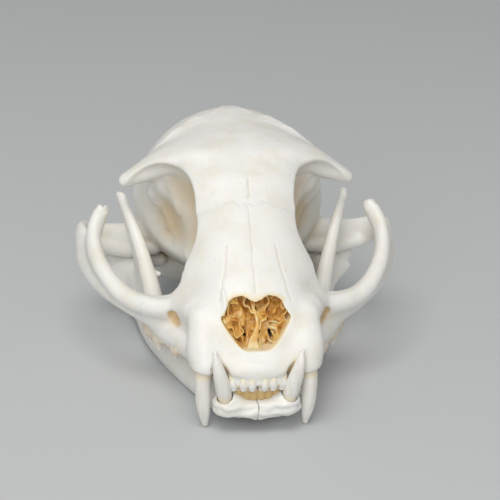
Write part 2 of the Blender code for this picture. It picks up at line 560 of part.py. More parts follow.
pieces = []
for side, x in (("left", 1), ("right", -1)):
    arch = cranium.behind(((x * ARCH_ROOT_X, 0, 0), (-x, 0, 0)))
    arch = arch.behind(((0, 0, ARCH_TOP_Z), (0, 0, 1))).behind(((0, 0, ARCH_BOTTOM_Z), (0, 0, -1)))
    core = core.without(arch)
    half = (0, 0, 0), (-x, 0, 0)
    pieces.append(place("zygomatic_arch_" + side, arch, BONE, TRIANGLES["arch"], skull, rest))
    bulla, mandible = bullae.behind(half), jaw.behind(half)
    pieces.append(place("auditory_bulla_" + side, bulla, BONE, TRIANGLES["bulla"], skull, rest))
    pieces.append(place("mandible_" + side, mandible, BONE, TRIANGLES["mandible"], skull, rest))
    for name, solid in (("upper_canine_", upper_canine()), ("lower_canine_", lower_canine())):
        canine = make_canine(solid)
        pieces.append(place(name + side, canine, ENAMEL, TRIANGLES["canine"], skull, rest, x))

snout = core.behind(SNOUT_BACK)
brow = core.behind(BROW_BACK).behind(opposite(SNOUT_BACK))
braincase = core.behind(opposite(BROW_BACK))
for name, bone in (("snout", snout), ("brow", brow), ("braincase", braincase)):
    pieces.append(place(name, bone, BONE, TRIANGLES[name], skull, rest))
pieces.append(place("nasal_turbinates", turbinates, SCROLL, TRIANGLES["turbinates"], skull, rest))
stand_on_floor(rest, pieces)
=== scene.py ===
"""Cleaned skull of an adult domestic cat with its lower jaw closed, at life size on a pale table.

The bones are modelled as masses of clay in skull axes and in millimetres: +X is the skull's left, +Y
runs back from the front of the upper jaw, and +Z runs up from the line of the upper tooth row. Each
finished bone is then laid on the table, in metres.
"""

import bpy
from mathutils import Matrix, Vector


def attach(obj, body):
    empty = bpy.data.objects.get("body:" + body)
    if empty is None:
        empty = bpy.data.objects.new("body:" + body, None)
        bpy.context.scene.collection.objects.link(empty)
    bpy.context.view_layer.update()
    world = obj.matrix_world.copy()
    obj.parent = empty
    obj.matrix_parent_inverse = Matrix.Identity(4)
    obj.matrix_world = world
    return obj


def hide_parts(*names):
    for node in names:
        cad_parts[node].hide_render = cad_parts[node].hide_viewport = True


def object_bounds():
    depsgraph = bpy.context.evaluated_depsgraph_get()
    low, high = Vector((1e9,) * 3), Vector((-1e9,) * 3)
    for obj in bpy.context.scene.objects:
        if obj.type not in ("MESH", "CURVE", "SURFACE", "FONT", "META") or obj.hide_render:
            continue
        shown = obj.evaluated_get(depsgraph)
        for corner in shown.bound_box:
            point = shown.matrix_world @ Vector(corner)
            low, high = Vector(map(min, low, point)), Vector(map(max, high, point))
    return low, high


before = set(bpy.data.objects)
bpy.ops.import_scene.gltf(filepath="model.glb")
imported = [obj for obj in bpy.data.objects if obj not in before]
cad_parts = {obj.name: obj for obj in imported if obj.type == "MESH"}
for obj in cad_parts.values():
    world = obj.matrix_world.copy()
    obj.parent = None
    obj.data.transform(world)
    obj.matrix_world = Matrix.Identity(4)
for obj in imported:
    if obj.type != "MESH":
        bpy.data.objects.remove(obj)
cad_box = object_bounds()

import copy
import math

import bmesh
import bpy
import numpy as np
import openvdb
from mathutils import Euler, Matrix, Vector
from mathutils.bvhtree import BVHTree


# ---- how the skull lies ----
# A cleaned skull has no stand: it rests on the undersides of its two lower jaws and on the points
# behind them, which tips it nose up by two degrees.
MM = 0.001
JAW_FLOOR_Y, JAW_FLOOR_Z = 24.0, -11.35
ANGLE_TIP_Y, ANGLE_TIP_Z, ANGLE_TIP_RADIUS = 64.0, -8.8, 1.1
WORN_FLAT = 0.12
FOREMOST_TOOTH = 0.16        # how far the canines stand in front of the upper jaw

slope = (ANGLE_TIP_Z - ANGLE_TIP_RADIUS - JAW_FLOOR_Z) / (ANGLE_TIP_Y - JAW_FLOOR_Y)
TIP = np.array(Matrix.Rotation(-math.atan(slope), 3, "X"))
floor_point = TIP @ (0, JAW_FLOOR_Y, JAW_FLOOR_Z + WORN_FLAT)
SEAT = np.array((0, cad_box[0].y / MM + FOREMOST_TOOTH, -floor_point[2]))


def laid(points):
    """Points of the skull, in millimetres, as they lie on the table, in metres."""
    return (np.asarray(points) @ TIP.T + SEAT) * MM


# ---- braincase ----
# The thin domed box of the parietal, temporal and occipital bones. It is compact bone, smooth where
# the temple muscles covered it, and in life it fuses with the face into one cranium.
GRAIN = 0.5                  # of the clay that holds the large forms; half of that for the small ones
REACH = 7.0                  # how far from a surface its distance is known
FINE_REACH = 3.0             # the same for the clay with half the grain
FAR = 50.0                   # what empty space holds
SKULL_LOW, SKULL_HIGH = (-38, -4, -16), (38, 92, 41)     # corners of the whole block
BRAIN_HALF_WIDTH = 21.0


def triangles(bm):
    """The points and triangles of a bmesh, which is freed."""
    bmesh.ops.triangulate(bm, faces=bm.faces)
    bm.verts.ensure_lookup_table()
    points = np.array([v.co[:] for v in bm.verts])
    faces = np.array([[v.index for v in f.verts] for f in bm.faces])
    bm.free()
    return points, faces


def ellipsoid(centre, radii, turn=(0, 0, 0), segments=160):
    """A round mass, turned by angles in degrees about its three axes."""
    bm = bmesh.new()
    bmesh.ops.create_uvsphere(bm, u_segments=segments, v_segments=segments // 2, radius=1)
    turn = Euler([math.radians(a) for a in turn])
    bm.transform(Matrix.LocRotScale(Vector(centre), turn, Vector(radii)))
    return triangles(bm)


def mirrored(solid):
    """A solid seen in the skull's middle plane."""
    points, faces = solid
    return points * (-1, 1, 1), faces[:, ::-1]


class Clay:
    """A block of space that holds the distance to the surface, inside below zero."""

    def __init__(self, low=SKULL_LOW, high=SKULL_HIGH, voxel=GRAIN, reach=REACH):
        self.voxel, self.reach = voxel, reach
        self.first = np.floor(np.array(low) / voxel).astype(int)
        shape = np.ceil(np.array(high) / voxel).astype(int) - self.first + 1
        self.distance = np.full(tuple(shape), FAR, np.float32)

    def like(self, distance, first=None):
        """The same clay with other distances, from another first node if one is given."""
        made = copy.copy(self)
        made.first = self.first if first is None else first
        made.distance = distance
        return made

    def measured(self, solid):
        """The distance to a solid, and the part of the block that it covers."""
        points, faces = solid
        band = self.reach / self.voxel
        field = openvdb.FloatGrid.createLevelSetFromPolygons(
            points.astype(np.float32), triangles=faces.astype(np.uint32),
            transform=openvdb.createLinearTransform(self.voxel), exBandWidth=band, inBandWidth=band)
        low = np.floor(points.min(0) / self.voxel - band).astype(int)
        high = np.ceil(points.max(0) / self.voxel + band).astype(int)
        low = np.maximum(low, self.first)
        high = np.minimum(high, self.first + self.distance.shape - 1)
        values = np.empty(tuple(high - low + 1), np.float32)
        field.copyToArray(values, ijk=tuple(int(i) for i in low))
        return values, tuple(slice(a, b + 1) for a, b in zip(low - self.first, high - self.first))

    def add(self, solid, fillet=0.5, both=False):
        """Weld a solid on, with a fillet. Both adds its mirror image too."""
        for piece in (solid, mirrored(solid)) if both else (solid,):
            values, where = self.measured(piece)
            old = self.distance[where]
            near = np.maximum(fillet - np.abs(old - values), 0) / fillet
            self.distance[where] = np.minimum(old, values) - near ** 3 * fillet / 6

    def cut(self, solid, fillet=0.5, both=False, grow=0.0):
        """Carve a solid out, grown by a clearance, with a rounded edge."""
        for piece in (solid, mirrored(solid)) if both else (solid,):
            values, where = self.measured(piece)
            old, values = self.distance[where], grow - values
            near = np.maximum(fillet - np.abs(old - values), 0) / fillet
            self.distance[where] = np.maximum(old, values) + near ** 3 * fillet / 6

    def clear(self, other, gap):
        """Carve away whatever comes closer than a gap to another block on the same lattice."""
        low = np.maximum(self.first, other.first)
        high = np.minimum(self.first + self.distance.shape, other.first + other.distance.shape)
        mine = tuple(slice(a, b) for a, b in zip(low - self.first, high - self.first))
        theirs = tuple(slice(a, b) for a, b in zip(low - other.first, high - other.first))
        self.distance[mine] = np.maximum(self.distance[mine], gap - other.distance[theirs])

    def trim(self, height):
        """Cut off every place where a height is above zero, with a sharp edge."""
        self.distance = np.maximum(self.distance, height).astype(np.float32)

    def axes(self):
        """The three coordinates of the lattice, ready to be combined."""
        lines = [(self.first[i] + np.arange(n)) * self.voxel for i, n in enumerate(self.distance.shape)]
        return np.meshgrid(*lines, indexing="ij", sparse=True)

    def finer(self):
        """The same clay with half the grain, its new values read from a smooth curve."""
        values = np.clip(self.distance, -REACH, REACH)
        for axis in range(3):
            rows = np.moveaxis(values, axis, 0)
            ends = np.concatenate([rows[:1], rows, rows[-1:]])
            between = (9 * (rows[:-1] + rows[1:]) - ends[:-3] - ends[3:]) / 16
            made = np.empty((2 * len(rows) - 1, *rows.shape[1:]), np.float32)
            made[::2], made[1::2] = rows, between
            values = np.moveaxis(made, 0, axis)
        made = self.like(np.ascontiguousarray(values), self.first * 2)
        made.voxel, made.reach = self.voxel / 2, FINE_REACH
        return made

    def block(self, low, high):
        """A copy of the part of the clay between two corners."""
        low = np.maximum(np.floor(np.array(low) / self.voxel).astype(int) - self.first, 0)
        high = np.ceil(np.array(high) / self.voxel).astype(int) - self.first + 1
        high = np.minimum(high, self.distance.shape)
        where = tuple(slice(a, b) for a, b in zip(low, high))
        return self.like(self.distance[where].copy(), self.first + low)

    def surface(self):
        """The skin of the clay, as points in millimetres and quads."""
        limit = 3 * self.voxel
        field = openvdb.FloatGrid(limit)
        field.copyFromArray(np.clip(self.distance, -limit, limit), ijk=tuple(int(i) for i in self.first))
        field.transform = openvdb.createLinearTransform(self.voxel)
        points, _, quads = field.convertToPolygons()
        return points.astype(float), quads.astype(int)


cranium = Clay()
cranium.add(ellipsoid((0, 60, 19.2), (19.6, 21, 18.4)))
cranium.add(ellipsoid((0, 67.5, 15.4), (BRAIN_HALF_WIDTH, 18.5, 15.4)), 7)
cranium.add(ellipsoid((0, 74, 14.0), (17.6, 14.0, 14.6)), 4)
cranium.add(ellipsoid((0, 48.5, 20.6), (17.0, 18.5, 16.2)), 6)


# ---- brow, muzzle and orbits ----
# The frontal bones roof the orbits and end in two blunt postorbital processes. The nasal bones and
# the upper jaw run forward from them, and the big round orbits are scooped out of both.
def smooth_rows(rows, steps):
    """A smooth curve through rows of numbers, each row met exactly."""
    rows = np.array(rows, float)
    if len(rows) < 3:
        t = np.linspace(0, 1, steps + 1)[:, None]
        return rows[0] + (rows[1] - rows[0]) * t
    rows = np.vstack([2 * rows[0] - rows[1], rows, 2 * rows[-1] - rows[-2]])
    curve = []
    for a, b, c, d in zip(rows, rows[1:], rows[2:], rows[3:]):
        for t in np.linspace(0, 1, steps, endpoint=False):
            square, cube = 2 * a - 5 * b + 4 * c - d, 3 * b - a - 3 * c + d
            curve.append(0.5 * (2 * b + (c - a) * t + square * t ** 2 + cube * t ** 3))
    curve.append(rows[-2])
    return np.array(curve)


def unit(vectors):
    """Vectors of the same direction with a length of one."""
    return vectors / np.linalg.norm(vectors, axis=-1, keepdims=True)


def loft(rings):
    """A closed skin over a row of rings with the same number of points."""
    count, sides, _ = rings.shape
    here = np.arange(sides)
    after = (here + 1) % sides
    faces = []
    for i in range(count - 1):
        a, b = i * sides + here, i * sides + after
        faces += [np.stack([a, b, b + sides], 1), np.stack([a, b + sides, a + sides], 1)]
    points = np.vstack([rings.reshape(-1, 3), rings[0].mean(0), rings[-1].mean(0)])
    start, end, last = count * sides, count * sides + 1, (count - 1) * sides
    faces.append(np.stack([np.full(sides, start), after, here], 1))
    faces.append(np.stack([np.full(sides, end), last + here, last + after], 1))
    faces = np.vstack(faces)
    corners = points[faces]
    volume = np.einsum("ij,ij->i", corners[:, 0], np.cross(corners[:, 1], corners[:, 2])).sum()
    return points, faces if volume > 0 else faces[:, ::-1]


def superellipse(sides, power):
    """A ring of one unit: round with a power of 2, squarer above it."""
    turn = np.linspace(0, 2 * math.pi, sides, endpoint=False)
    wave = np.stack([np.cos(turn), np.sin(turn)])
    return np.sign(wave) * np.abs(wave) ** (2 / power)


def bar(stations, flat=(0, 0, 1), sides=48, steps=10):
    """A round-ended bar through stations (x, y, z, half size along flat, half size across)."""
    rows = smooth_rows(stations, steps)
    middle, along, across = rows[:, :3], rows[:, 3], rows[:, 4]
    flats = smooth_rows(flat, steps) if np.ndim(flat) == 2 else np.tile(flat, (len(rows), 1)).astype(float)
    heading = unit(np.gradient(middle, axis=0))
    u = unit(flats - (flats * heading).sum(1)[:, None] * heading)
    w = np.cross(heading, u)
    cap = np.sin(np.radians([15, 30, 45, 60, 75, 86]))
    index = np.concatenate([[0] * len(cap), np.arange(len(rows)), [-1] * len(cap)])
    bulge = np.concatenate([-cap[::-1], np.zeros(len(rows)), cap])
    shrink = np.sqrt(1 - bulge ** 2)
    end_radius = np.minimum(along, across)[index]
    middle = middle[index] + heading[index] * (bulge * end_radius)[:, None]
    cos, sin = superellipse(sides, 2)
    rings = (middle[:, None]
             + u[index][:, None] * ((along[index] * shrink)[:, None] * cos)[..., None]
             + w[index][:, None] * ((across[index] * shrink)[:, None] * sin)[..., None])
    return loft(rings)


def muzzle_loft(stations, sides=144, steps=10):
    """Upright sections along Y: (y, lowest z, highest z, half width low, half width high, power)."""
    rings = []
    for y, low, high, wide_low, wide_high, power in smooth_rows(stations, steps):
        cos, sin = superellipse(sides, power)
        rise = (sin + 1) / 2
        width = wide_low + (wide_high - wide_low) * rise
        rings.append(np.stack([cos * width, np.full(sides, y), low + (high - low) * rise], 1))
    return loft(np.array(rings))


muzzle = [
    (0.9, 0.4, 2.2, 4.6, 4.0, 2.4), (2.6, -0.4, 4.4, 7.4, 6.8, 2.4), (4.6, -0.8, 7.4, 9.8, 8.6, 2.5),
    (7.0, -1.0, 11.4, 11.6, 9.2, 2.5), (9.4, -1.0, 14.8, 12.4, 9.0, 2.5), (12, -1.0, 17.4, 13.6, 9.6, 2.7),
    (16, -1.0, 20.4, 15.6, 10.4, 2.7), (20, -1.0, 23.4, 18.4, 11.4, 2.6), (25, -0.8, 27.0, 21.0, 10.2, 2.9),
    (29.5, -0.4, 30.2, 20.6, 11.2, 3.0), (33, 1.0, 32.6, 14.0, 13.6, 3.0), (38, 3.0, 34.5, 9.6, 15.6, 2.9),
    (43, 3.6, 34.8, 8.6, 14.4, 2.5), (48, 4.0, 34.8, 8.4, 12.4, 2.2), (54, 3.0, 33.0, 8.4, 10.0, 2.2)]
cranium.add(muzzle_loft(muzzle), 4)
postorbital = [(4, 47, 32.4, 8.5, 2.6), (10, 46.8, 33.0, 7.9, 2.2), (15.5, 46.8, 30.9, 6.2, 2.6),
               (20.2, 47.2, 28.3, 3.8, 2.1), (23.9, 47.6, 26.3, 1.8, 1.3)]
cranium.add(bar(postorbital, flat=(0, 1, -0.12)), 6, both=True)
alveolar_ridge = [(11.2, 9, 1.6, 2.2, 1.6), (12.6, 13, 1.6, 2.2, 1.6), (14.8, 18, 1.8, 2.4, 1.7),
                  (18.0, 25, 2.0, 2.6, 1.8), (18.6, 31, 2.6, 2.2, 1.7)]
cranium.add(bar(alveolar_ridge), 4, both=True)

temporal_line = [(15.5, 53, 31.0, 1.0, 1.2), (12, 56, 33.4, 1.2, 1.4), (8, 59.5, 35.0, 1.0, 1.2)]
cranium.add(bar(temporal_line), 4, both=True)

ORBIT_SCOOPS = (
    ((23.9, 34.0, 20.2), (13.7, 12.8, 12.9)),
    ((20.2, 30.0, 20.0), (11.0, 11.5, 12.0)),
    ((18.2, 36.6, 21.6), (11.0, 11.6, 11.6)),
    ((19.5, 38.5, 18.5), (11.4, 10.0, 12.0)),
    ((16.4, 27.8, 13.2), (6.8, 8.3, 7.0)))
for centre, radii in ORBIT_SCOOPS:
    cranium.cut(ellipsoid(centre, radii), 0.8, both=True)
temple_hollow = ellipsoid((20.5, 43.5, 14.5), (9.6, 12.0, 10.4))
cranium.cut(temple_hollow, 3.0, both=True)
palate_vault = ellipsoid((0, 23, -3.6), (12.5, 19, 4.6))
cranium.cut(palate_vault, 2.0)

process_edge = [(13, 44.8, 30.4, 1.0, 1.0), (16.4, 45.8, 29.4, 1.3, 1.3), (18.4, 46.3, 28.4, 1.4, 1.3),
                (21, 46.8, 27.5, 1.2, 1.1), (23.2, 47.4, 26.6, 0.9, 0.9)]
cranium.add(bar(process_edge), 2.5, both=True)
canine_jugum = [(10.3, 5.3, 1.2, 3.2, 2.8), (10.7, 7.2, 5.2, 3.0, 2.9), (10.9, 10.4, 9.4, 2.0, 2.1)]
cheek_root = [(12.0, 14.2, 9.6, 1.9, 2.0), (13.2, 18.4, 8.8, 1.8, 2.0)]
cranium.add(bar(canine_jugum, flat=(0, 1, 0.3)), 5, both=True)
cranium.add(bar(cheek_root), 5, both=True)
under_the_jugum = ellipsoid((11.0, 5.2, -4.4), (6.2, 5.4, 5.6))
cranium.cut(under_the_jugum, 0.8, both=True)
incisor_ridge = [(-6.2, 3.6, 1.5, 2.0, 1.5), (0, 2.0, 1.2, 2.1, 1.7), (6.2, 3.6, 1.5, 2.0, 1.5)]
cranium.add(bar(incisor_ridge), 1.5)


# ---- zygomatic arches ----
# Each cheekbone sweeps out from the upper jaw and back to the temple as a flat band, with the rim of
# the orbit as a round bar on its front, which ends in a free point below the postorbital process.
ARCH_HALF_WIDTH = 34.7
WIDE = ARCH_HALF_WIDTH - 1.4          # the middle of the band, where it stands out most

arch = [
    (13.0, 24, 5.0, 4.8, 4.0), (18.4, 24.4, 5.3, 3.5, 2.3), (23.4, 27.4, 6.1, 2.5, 1.4),
    (27.8, 32.4, 7.6, 2.6, 1.3), (31.0, 38.2, 9.8, 3.3, 1.3), (WIDE - 0.7, 43.6, 11.8, 3.7, 1.3),
    (WIDE, 48.4, 13.2, 3.0, 1.3), (WIDE - 0.1, 53, 12.8, 2.5, 1.3), (31.8, 57, 11.0, 2.8, 1.5),
    (27.8, 59.6, 9.0, 3.3, 2.0), (22.6, 61.2, 8.4, 3.4, 3.0), (18, 62.6, 9.0, 3.2, 4.2),
    (13, 63.6, 9.2, 4.0, 5.0)]
arch_lean = [(0.30, 0, -1)] * 6 + [(0.12, 0, -1)] * 3 + [(0, 0, -1)] * 4
cranium.add(bar(arch, flat=arch_lean), 2.5, both=True)
orbital_rim = [(12.2, 19.6, 11.6, 0.7, 0.8), (14.0, 20.2, 9.2, 1.3, 1.3), (17.0, 20.8, 7.7, 1.7, 1.6),
               (21.4, 23.4, 7.4, 1.9, 1.8), (25.6, 27.2, 8.4, 1.8, 1.8), (28.8, 32.2, 10.9, 1.7, 1.7),
               (30.6, 37.4, 13.4, 2.0, 1.6),
               (30.9, 41.6, 16.0, 2.2, 1.6), (29.9, 44.4, 18.6, 2.0, 1.6), (28.9, 45.8, 20.2, 1.6, 1.4)]
cranium.add(bar(orbital_rim), 3, both=True)


# ---- skull base and crests ----
# Below, the braincase ends in a flat floor with the jaw sockets, the pterygoid plates, the condyles
# that met the neck and two thin-walled ear capsules. Behind, a sharp crest held the neck muscles.
socket_back = [(14, 64.6, 4.0, 2.4, 1.2), (20, 64.6, 3.8, 2.6, 1.0), (25.6, 63.8, 5.6, 2.0, 0.9)]
jaw_socket = [(12.5, 61.2, 3.6, 2.5, 2.5), (28.5, 60.4, 4.6, 2.5, 2.5)]
socket_front = [(17, 58.8, 6.6, 1.5, 1.3), (23, 58.4, 6.4, 1.6, 1.3), (29, 57.4, 8.0, 1.5, 1.2)]
skull_floor = [(0, 38, 8, 2.6, 4.4), (0, 52, 6.0, 2.6, 4.8), (0, 64, 3.6, 2.4, 6.0), (0, 84, 3.0, 2.2, 7.0)]
cranium.add(bar(socket_back), 2, both=True)
cranium.cut(bar(jaw_socket), 1, both=True)
cranium.add(bar(socket_front), 1.5, both=True)
cranium.add(bar(skull_floor), 3)
pterygoid = [(6.8, 33, 3.4, 3.0, 1.4), (5.8, 41, 3.0, 3.2, 0.8), (5.2, 48, 2.6, 2.8, 0.7),
             (5.0, 53.5, 0.4, 1.2, 0.7)]
cranium.add(bar(pterygoid), 1.5, both=True)
airway = [(0, 35, 5.0, 2.2, 3.6), (0, 41, 3.6, 3.2, 4.2), (0, 50, 1.6, 3.0, 4.0)]
cranium.cut(bar(airway), 1.0)
mastoid = ellipsoid((17.2, 75.6, 5.4), (2.4, 3.6, 5.0))
cranium.add(mastoid, 2, both=True)
occipital_condyle = ellipsoid((6.0, 84.6, 4.2), (3.0, 3.2, 4.6), (20, 0, 20))
cranium.add(occipital_condyle, 2.0, both=True)

nuchal_half = [(17.0, 77.0, 8.5, 1.3, 1.0), (16.4, 80, 14.5, 1.3, 0.9), (12.8, 84.0, 20.6, 1.3, 0.8),
               (6, 86.2, 23.8, 1.3, 0.9), (0, 87.0, 24.8, 1.3, 1.0)]
nuchal_crest = nuchal_half + [(-x, *rest) for x, *rest in nuchal_half[-2::-1]]
cranium.add(bar(nuchal_crest, flat=(0, 1, 0.7)), 4)
sagittal_crest = [(0, 62, 35.6, 0.8, 1.0), (0, 72, 33.4, 0.8, 0.8), (0, 80, 29.4, 0.8, 0.8),
                  (0, 86, 25.0, 1.0, 0.9)]
cranium.add(bar(sagittal_crest), 4)

foramen_magnum = ellipsoid((0, 85.5, 6.4), (5.4, 8, 4.6), (15, 0, 0))
cranium.cut(foramen_magnum, 0.8)
brain_pocket = ellipsoid((0, 76, 8.6), (8.6, 10, 6.0))
cranium.cut(brain_pocket, 1.5)

bullae = Clay()
ear_capsule = ellipsoid((11.0, 70.5, 1.8), (6.2, 10.4, 6.9), (0, 0, -14))
bullae.add(ear_capsule, 0.5, both=True)
ear_hole = bar([(12, 69, 6.0, 2.1, 2.4), (22, 67.8, 7.0, 2.3, 2.7)])
bullae.cut(ear_hole, 0.8, both=True)


# ---- lower jaw ----
# Two separate bones that meet at the chin. Each has a deep body for the teeth, a tall thin coronoid
# process that rises inside the cheekbone, a rolling condyle and a hooked angle.
jaw = Clay()
jaw_body = [(4.4, 4.4, -6.6, 2.2, 3.6), (5.2, 7.6, -7.4, 2.9, 3.3), (7.6, 13, -7.8, 3.5, 2.6),
            (10.4, 20, -7.6, 3.75, 2.4), (13.6, 28, -7.3, 3.95, 2.2), (16.4, 36, -6.6, 4.2, 2.1),
            (18.6, 44, -5.8, 4.6, 2.0), (20.0, 52, -5.2, 4.0, 1.8), (20.6, 58, -5.6, 2.8, 1.6)]
jaw.add(bar(jaw_body), 0.5, both=True)
chin = ellipsoid((0, 6.2, -6.3), (6.8, 5.4, 2.2), (24, 0, 0))
jaw.add(chin, 2)
chin_front = [(-6.0, 3.6, -6.4, 1.6, 1.8), (0, 2.1, -7.1, 1.6, 1.8), (6.0, 3.6, -6.4, 1.6, 1.8)]
jaw.add(bar(chin_front), 1.5)
canine_root = ellipsoid((5.9, 3.4, -6.0), (2.9, 3.3, 2.4), (0, 20, 0))
jaw.add(canine_root, 3, both=True)
coronoid_plate = [(19.4, 49, -5, 9.6, 1.5), (19.8, 49.4, -1, 8.8, 1.0), (20.6, 50.2, 5, 6.2, 0.9),
                  (22.4, 52.2, 13, 3.8, 0.9), (24.8, 55.4, 20.4, 1.4, 0.8)]
jaw.add(bar(coronoid_plate, flat=(0.12, 1, 0)), 1.5, both=True)
coronoid_edge = [(17.0, 38.0, -5, 2.0, 2.1), (18.4, 41.5, 3, 1.7, 1.9), (20.9, 46.4, 12, 1.3, 1.4),
                 (24.4, 53.6, 20.6, 0.85, 0.85)]
jaw.add(bar(coronoid_edge, flat=(0, 1, 0)), 1.2, both=True)
condyle = [(15.4, 62.0, 2.6, 1.6, 1.6), (26.4, 61.0, 3.6, 1.7, 1.7)]
jaw.add(bar(condyle), 1, both=True)
condyle_neck = [(20.6, 56, -3, 3.6, 1.4), (21.6, 60, 1.6, 2.6, 2.6)]
jaw.add(bar(condyle_neck, flat=(0, 1, 0)), 2, both=True)
ramus_wall = [(23.6, 59.8, 2.6, 4.4, 1.4), (21.6, 58.4, -1.8, 2.8, 1.4), (20.6, 56.4, -6.0, 2.4, 1.6)]
jaw.add(bar(ramus_wall, flat=(1, 0, 0)), 2, both=True)
jaw_angle = [(20.0, 54, -6.4, 2.4, 1.6), (20.2, 59.6, -7.8, 1.8, 1.3),
             (19.6, ANGLE_TIP_Y, ANGLE_TIP_Z, ANGLE_TIP_RADIUS, 0.9)]
jaw.add(bar(jaw_angle), 2, both=True)
chewing_muscle_hollow = ellipsoid((24.0, 49.5, 1.0), (3.6, 7.5, 6.4), (0, 0, -6))
jaw.cut(chewing_muscle_hollow, 1.2, both=True)

x, y, z = jaw.axes()
jaw.trim(JAW_FLOOR_Z + WORN_FLAT + (y - JAW_FLOOR_Y) * slope - z)


# ---- how open or hidden each place of the bone is ----
# Painted shade: bone is tinted beige where it lies in shade, close round a place: in the orbits,
# beside the teeth and in the corners. The share of bone in a box round each place says how hidden it is.
def blurred(values, width, times=3):
    """Values averaged over a box a few times, which comes close to a soft round brush."""
    half = width // 2
    for axis in range(3):
        for _ in range(times):
            rows = np.moveaxis(values, axis, 0)
            padded = np.concatenate([rows[:1]] * (half + 1) + [rows] + [rows[-1:]] * half)
            total = padded.cumsum(0, dtype=np.float64)
            mean = (total[2 * half + 1:] - total[:-2 * half - 1]) / (2 * half + 1)
            values = np.moveaxis(mean, 0, axis)
    return values.astype(np.float32)


nearest_bone = np.minimum(np.minimum(cranium.distance, jaw.distance), bullae.distance)
bone_share = np.clip(0.5 - nearest_bone / GRAIN, 0, 1)
wide_share = blurred(bone_share, 13)
close_share = blurred(bone_share, 3)
SHARES = cranium.like(None)          # the lattice that both are on


def between_nodes(values, low, part):
    """Values read a part of the way from their low node to the next, on a lattice that repeats."""
    total = np.zeros(len(low))
    for corner in np.ndindex(2, 2, 2):
        weight = np.prod(np.where(corner, part, 1 - part), axis=1)
        total += weight * values[tuple(((low + corner) % values.shape).T)]
    return total


def sampled(values, points, clay=SHARES):
    """Values on the lattice of a block of clay, read at points."""
    place = points / clay.voxel - clay.first
    low = np.clip(np.floor(place).astype(int), 0, np.array(values.shape) - 2)
    return between_nodes(values, low, place - low)


# ---- bone surfaces ----
# Dry bone, degreased and whitened: a hard matt skin with a faint grain, tiny holes where vessels
# entered, and sutures, the wavy lines where two bones met.
LATTICE = np.random.default_rng(11).random((32, 32, 32)) * 2 - 1


def noise(points, size):
    """Smooth random values from -1 to 1, with features of a size in millimetres."""
    place = np.asarray(points) / size + 100
    low = np.floor(place).astype(int)
    part = place - low
    return between_nodes(LATTICE, low, part * part * (3 - 2 * part))


def outward(points, quads):
    """The direction that points out of the skin at each point."""
    across = points[quads[:, 2]] - points[quads[:, 0]]
    other = points[quads[:, 3]] - points[quads[:, 1]]
    facing = np.cross(across, other)
    total = np.zeros_like(points)
    for corner in quads.T:
        for axis in range(3):
            total[:, axis] += np.bincount(corner, facing[:, axis], len(points))
    return unit(total + 1e-12)


def gap_to(points, path, reach):
    """The distance from each point to a path, no more than reach."""
    gap = np.full(len(points), float(reach))
    near = np.flatnonzero(((points > path.min(0) - reach) & (points < path.max(0) + reach)).all(1))
    spots = points[near]
    best = gap[near]
    for a, b in zip(path, path[1:]):
        run = b - a
        share = np.clip((spots - a) @ run / max(run @ run, 1e-9), 0, 1)
        best = np.minimum(best, np.linalg.norm(spots - a - share[:, None] * run, axis=1))
    gap[near] = best
    return gap


def on_skin(points, quads, path):
    """A path through rough points, laid onto the skin."""
    tree = BVHTree.FromPolygons(points.tolist(), quads.tolist())
    return np.array([tree.find_nearest(spot)[0][:] for spot in smooth_rows(path, 12)])


def new_material(name):
    made = bpy.data.materials.new(name)
    made.use_nodes = True
    return made, made.node_tree, made.node_tree.nodes["Principled BSDF"]


def add_node(tree, kind, links=(), values=(), **settings):
    made = tree.nodes.new("ShaderNode" + kind)
    for name, value in settings.items():
        setattr(made, name, value)
    for socket, value in dict(values).items():
        made.inputs[socket].default_value = value
    for socket, source in dict(links).items():
        tree.links.new(source, made.inputs[socket])
    return made


def linear(code):
    """The linear colour of an sRGB hex code."""
    channels = [int(code[i:i + 2], 16) / 255 for i in (1, 3, 5)]
    return [c / 12.92 if c <= 0.04045 else ((c + 0.055) / 1.055) ** 2.4 for c in channels] + [1]


def mixed(tree, share, first, second):
    """A colour between two others, each a hex code or the output of a node."""
    made = add_node(tree, "Mix", {"Factor": share}, data_type="RGBA")
    for socket, colour in ((6, first), (7, second)):
        if isinstance(colour, str):
            made.inputs[socket].default_value = linear(colour)
        else:
            tree.links.new(colour, made.inputs[socket])
    return made.outputs[2]


def ranged(tree, value, low, high):
    """A value from 0 at low to 1 at high, held at the ends."""
    made = add_node(tree, "MapRange", {"Value": value}, {"From Min": low, "From Max": high})
    made.interpolation_type = "SMOOTHSTEP"
    return made.outputs["Result"]


def speckle(tree, place, size, detail, roughness=0.5):
    """A random pattern with features of a size in millimetres, from 0 to 1."""
    values = {"Scale": 1 / (size * MM), "Detail": detail, "Roughness": roughness}
    return add_node(tree, "TexNoise", {"Vector": place}, values).outputs["Fac"]


def fact(tree, name):
    """A number that the mesh carries at each of its points."""
    return add_node(tree, "Attribute", attribute_name=name).outputs["Fac"]


def relief(tree, shader, height, strength, depth):
    """Bumps of a depth in millimetres, too fine for the mesh."""
    bump = add_node(tree, "Bump", {"Height": height}, {"Strength": strength, "Distance": depth * MM})
    tree.links.new(bump.outputs["Normal"], shader.inputs["Normal"])


def glow(shader, weight, radius, depth):
    """Light that enters the surface and leaves it again nearby, within a depth in millimetres."""
    shader.inputs["Subsurface Weight"].default_value = weight
    shader.inputs["Subsurface Radius"].default_value = radius
    shader.inputs["Subsurface Scale"].default_value = depth * MM


BONE_WHITE, BONE_CREAM = "#f3f2ee", "#ece8dd"
# the beige is painted shade, for the hollows, the orbits and the creases
BONE_SHADE_BEIGE, BONE_TAN = "#dfc8a0", "#b3966a"
THIN_CREAM, THIN_GOLD_AND_SHADE = "#f0dfb8", "#d9a450"


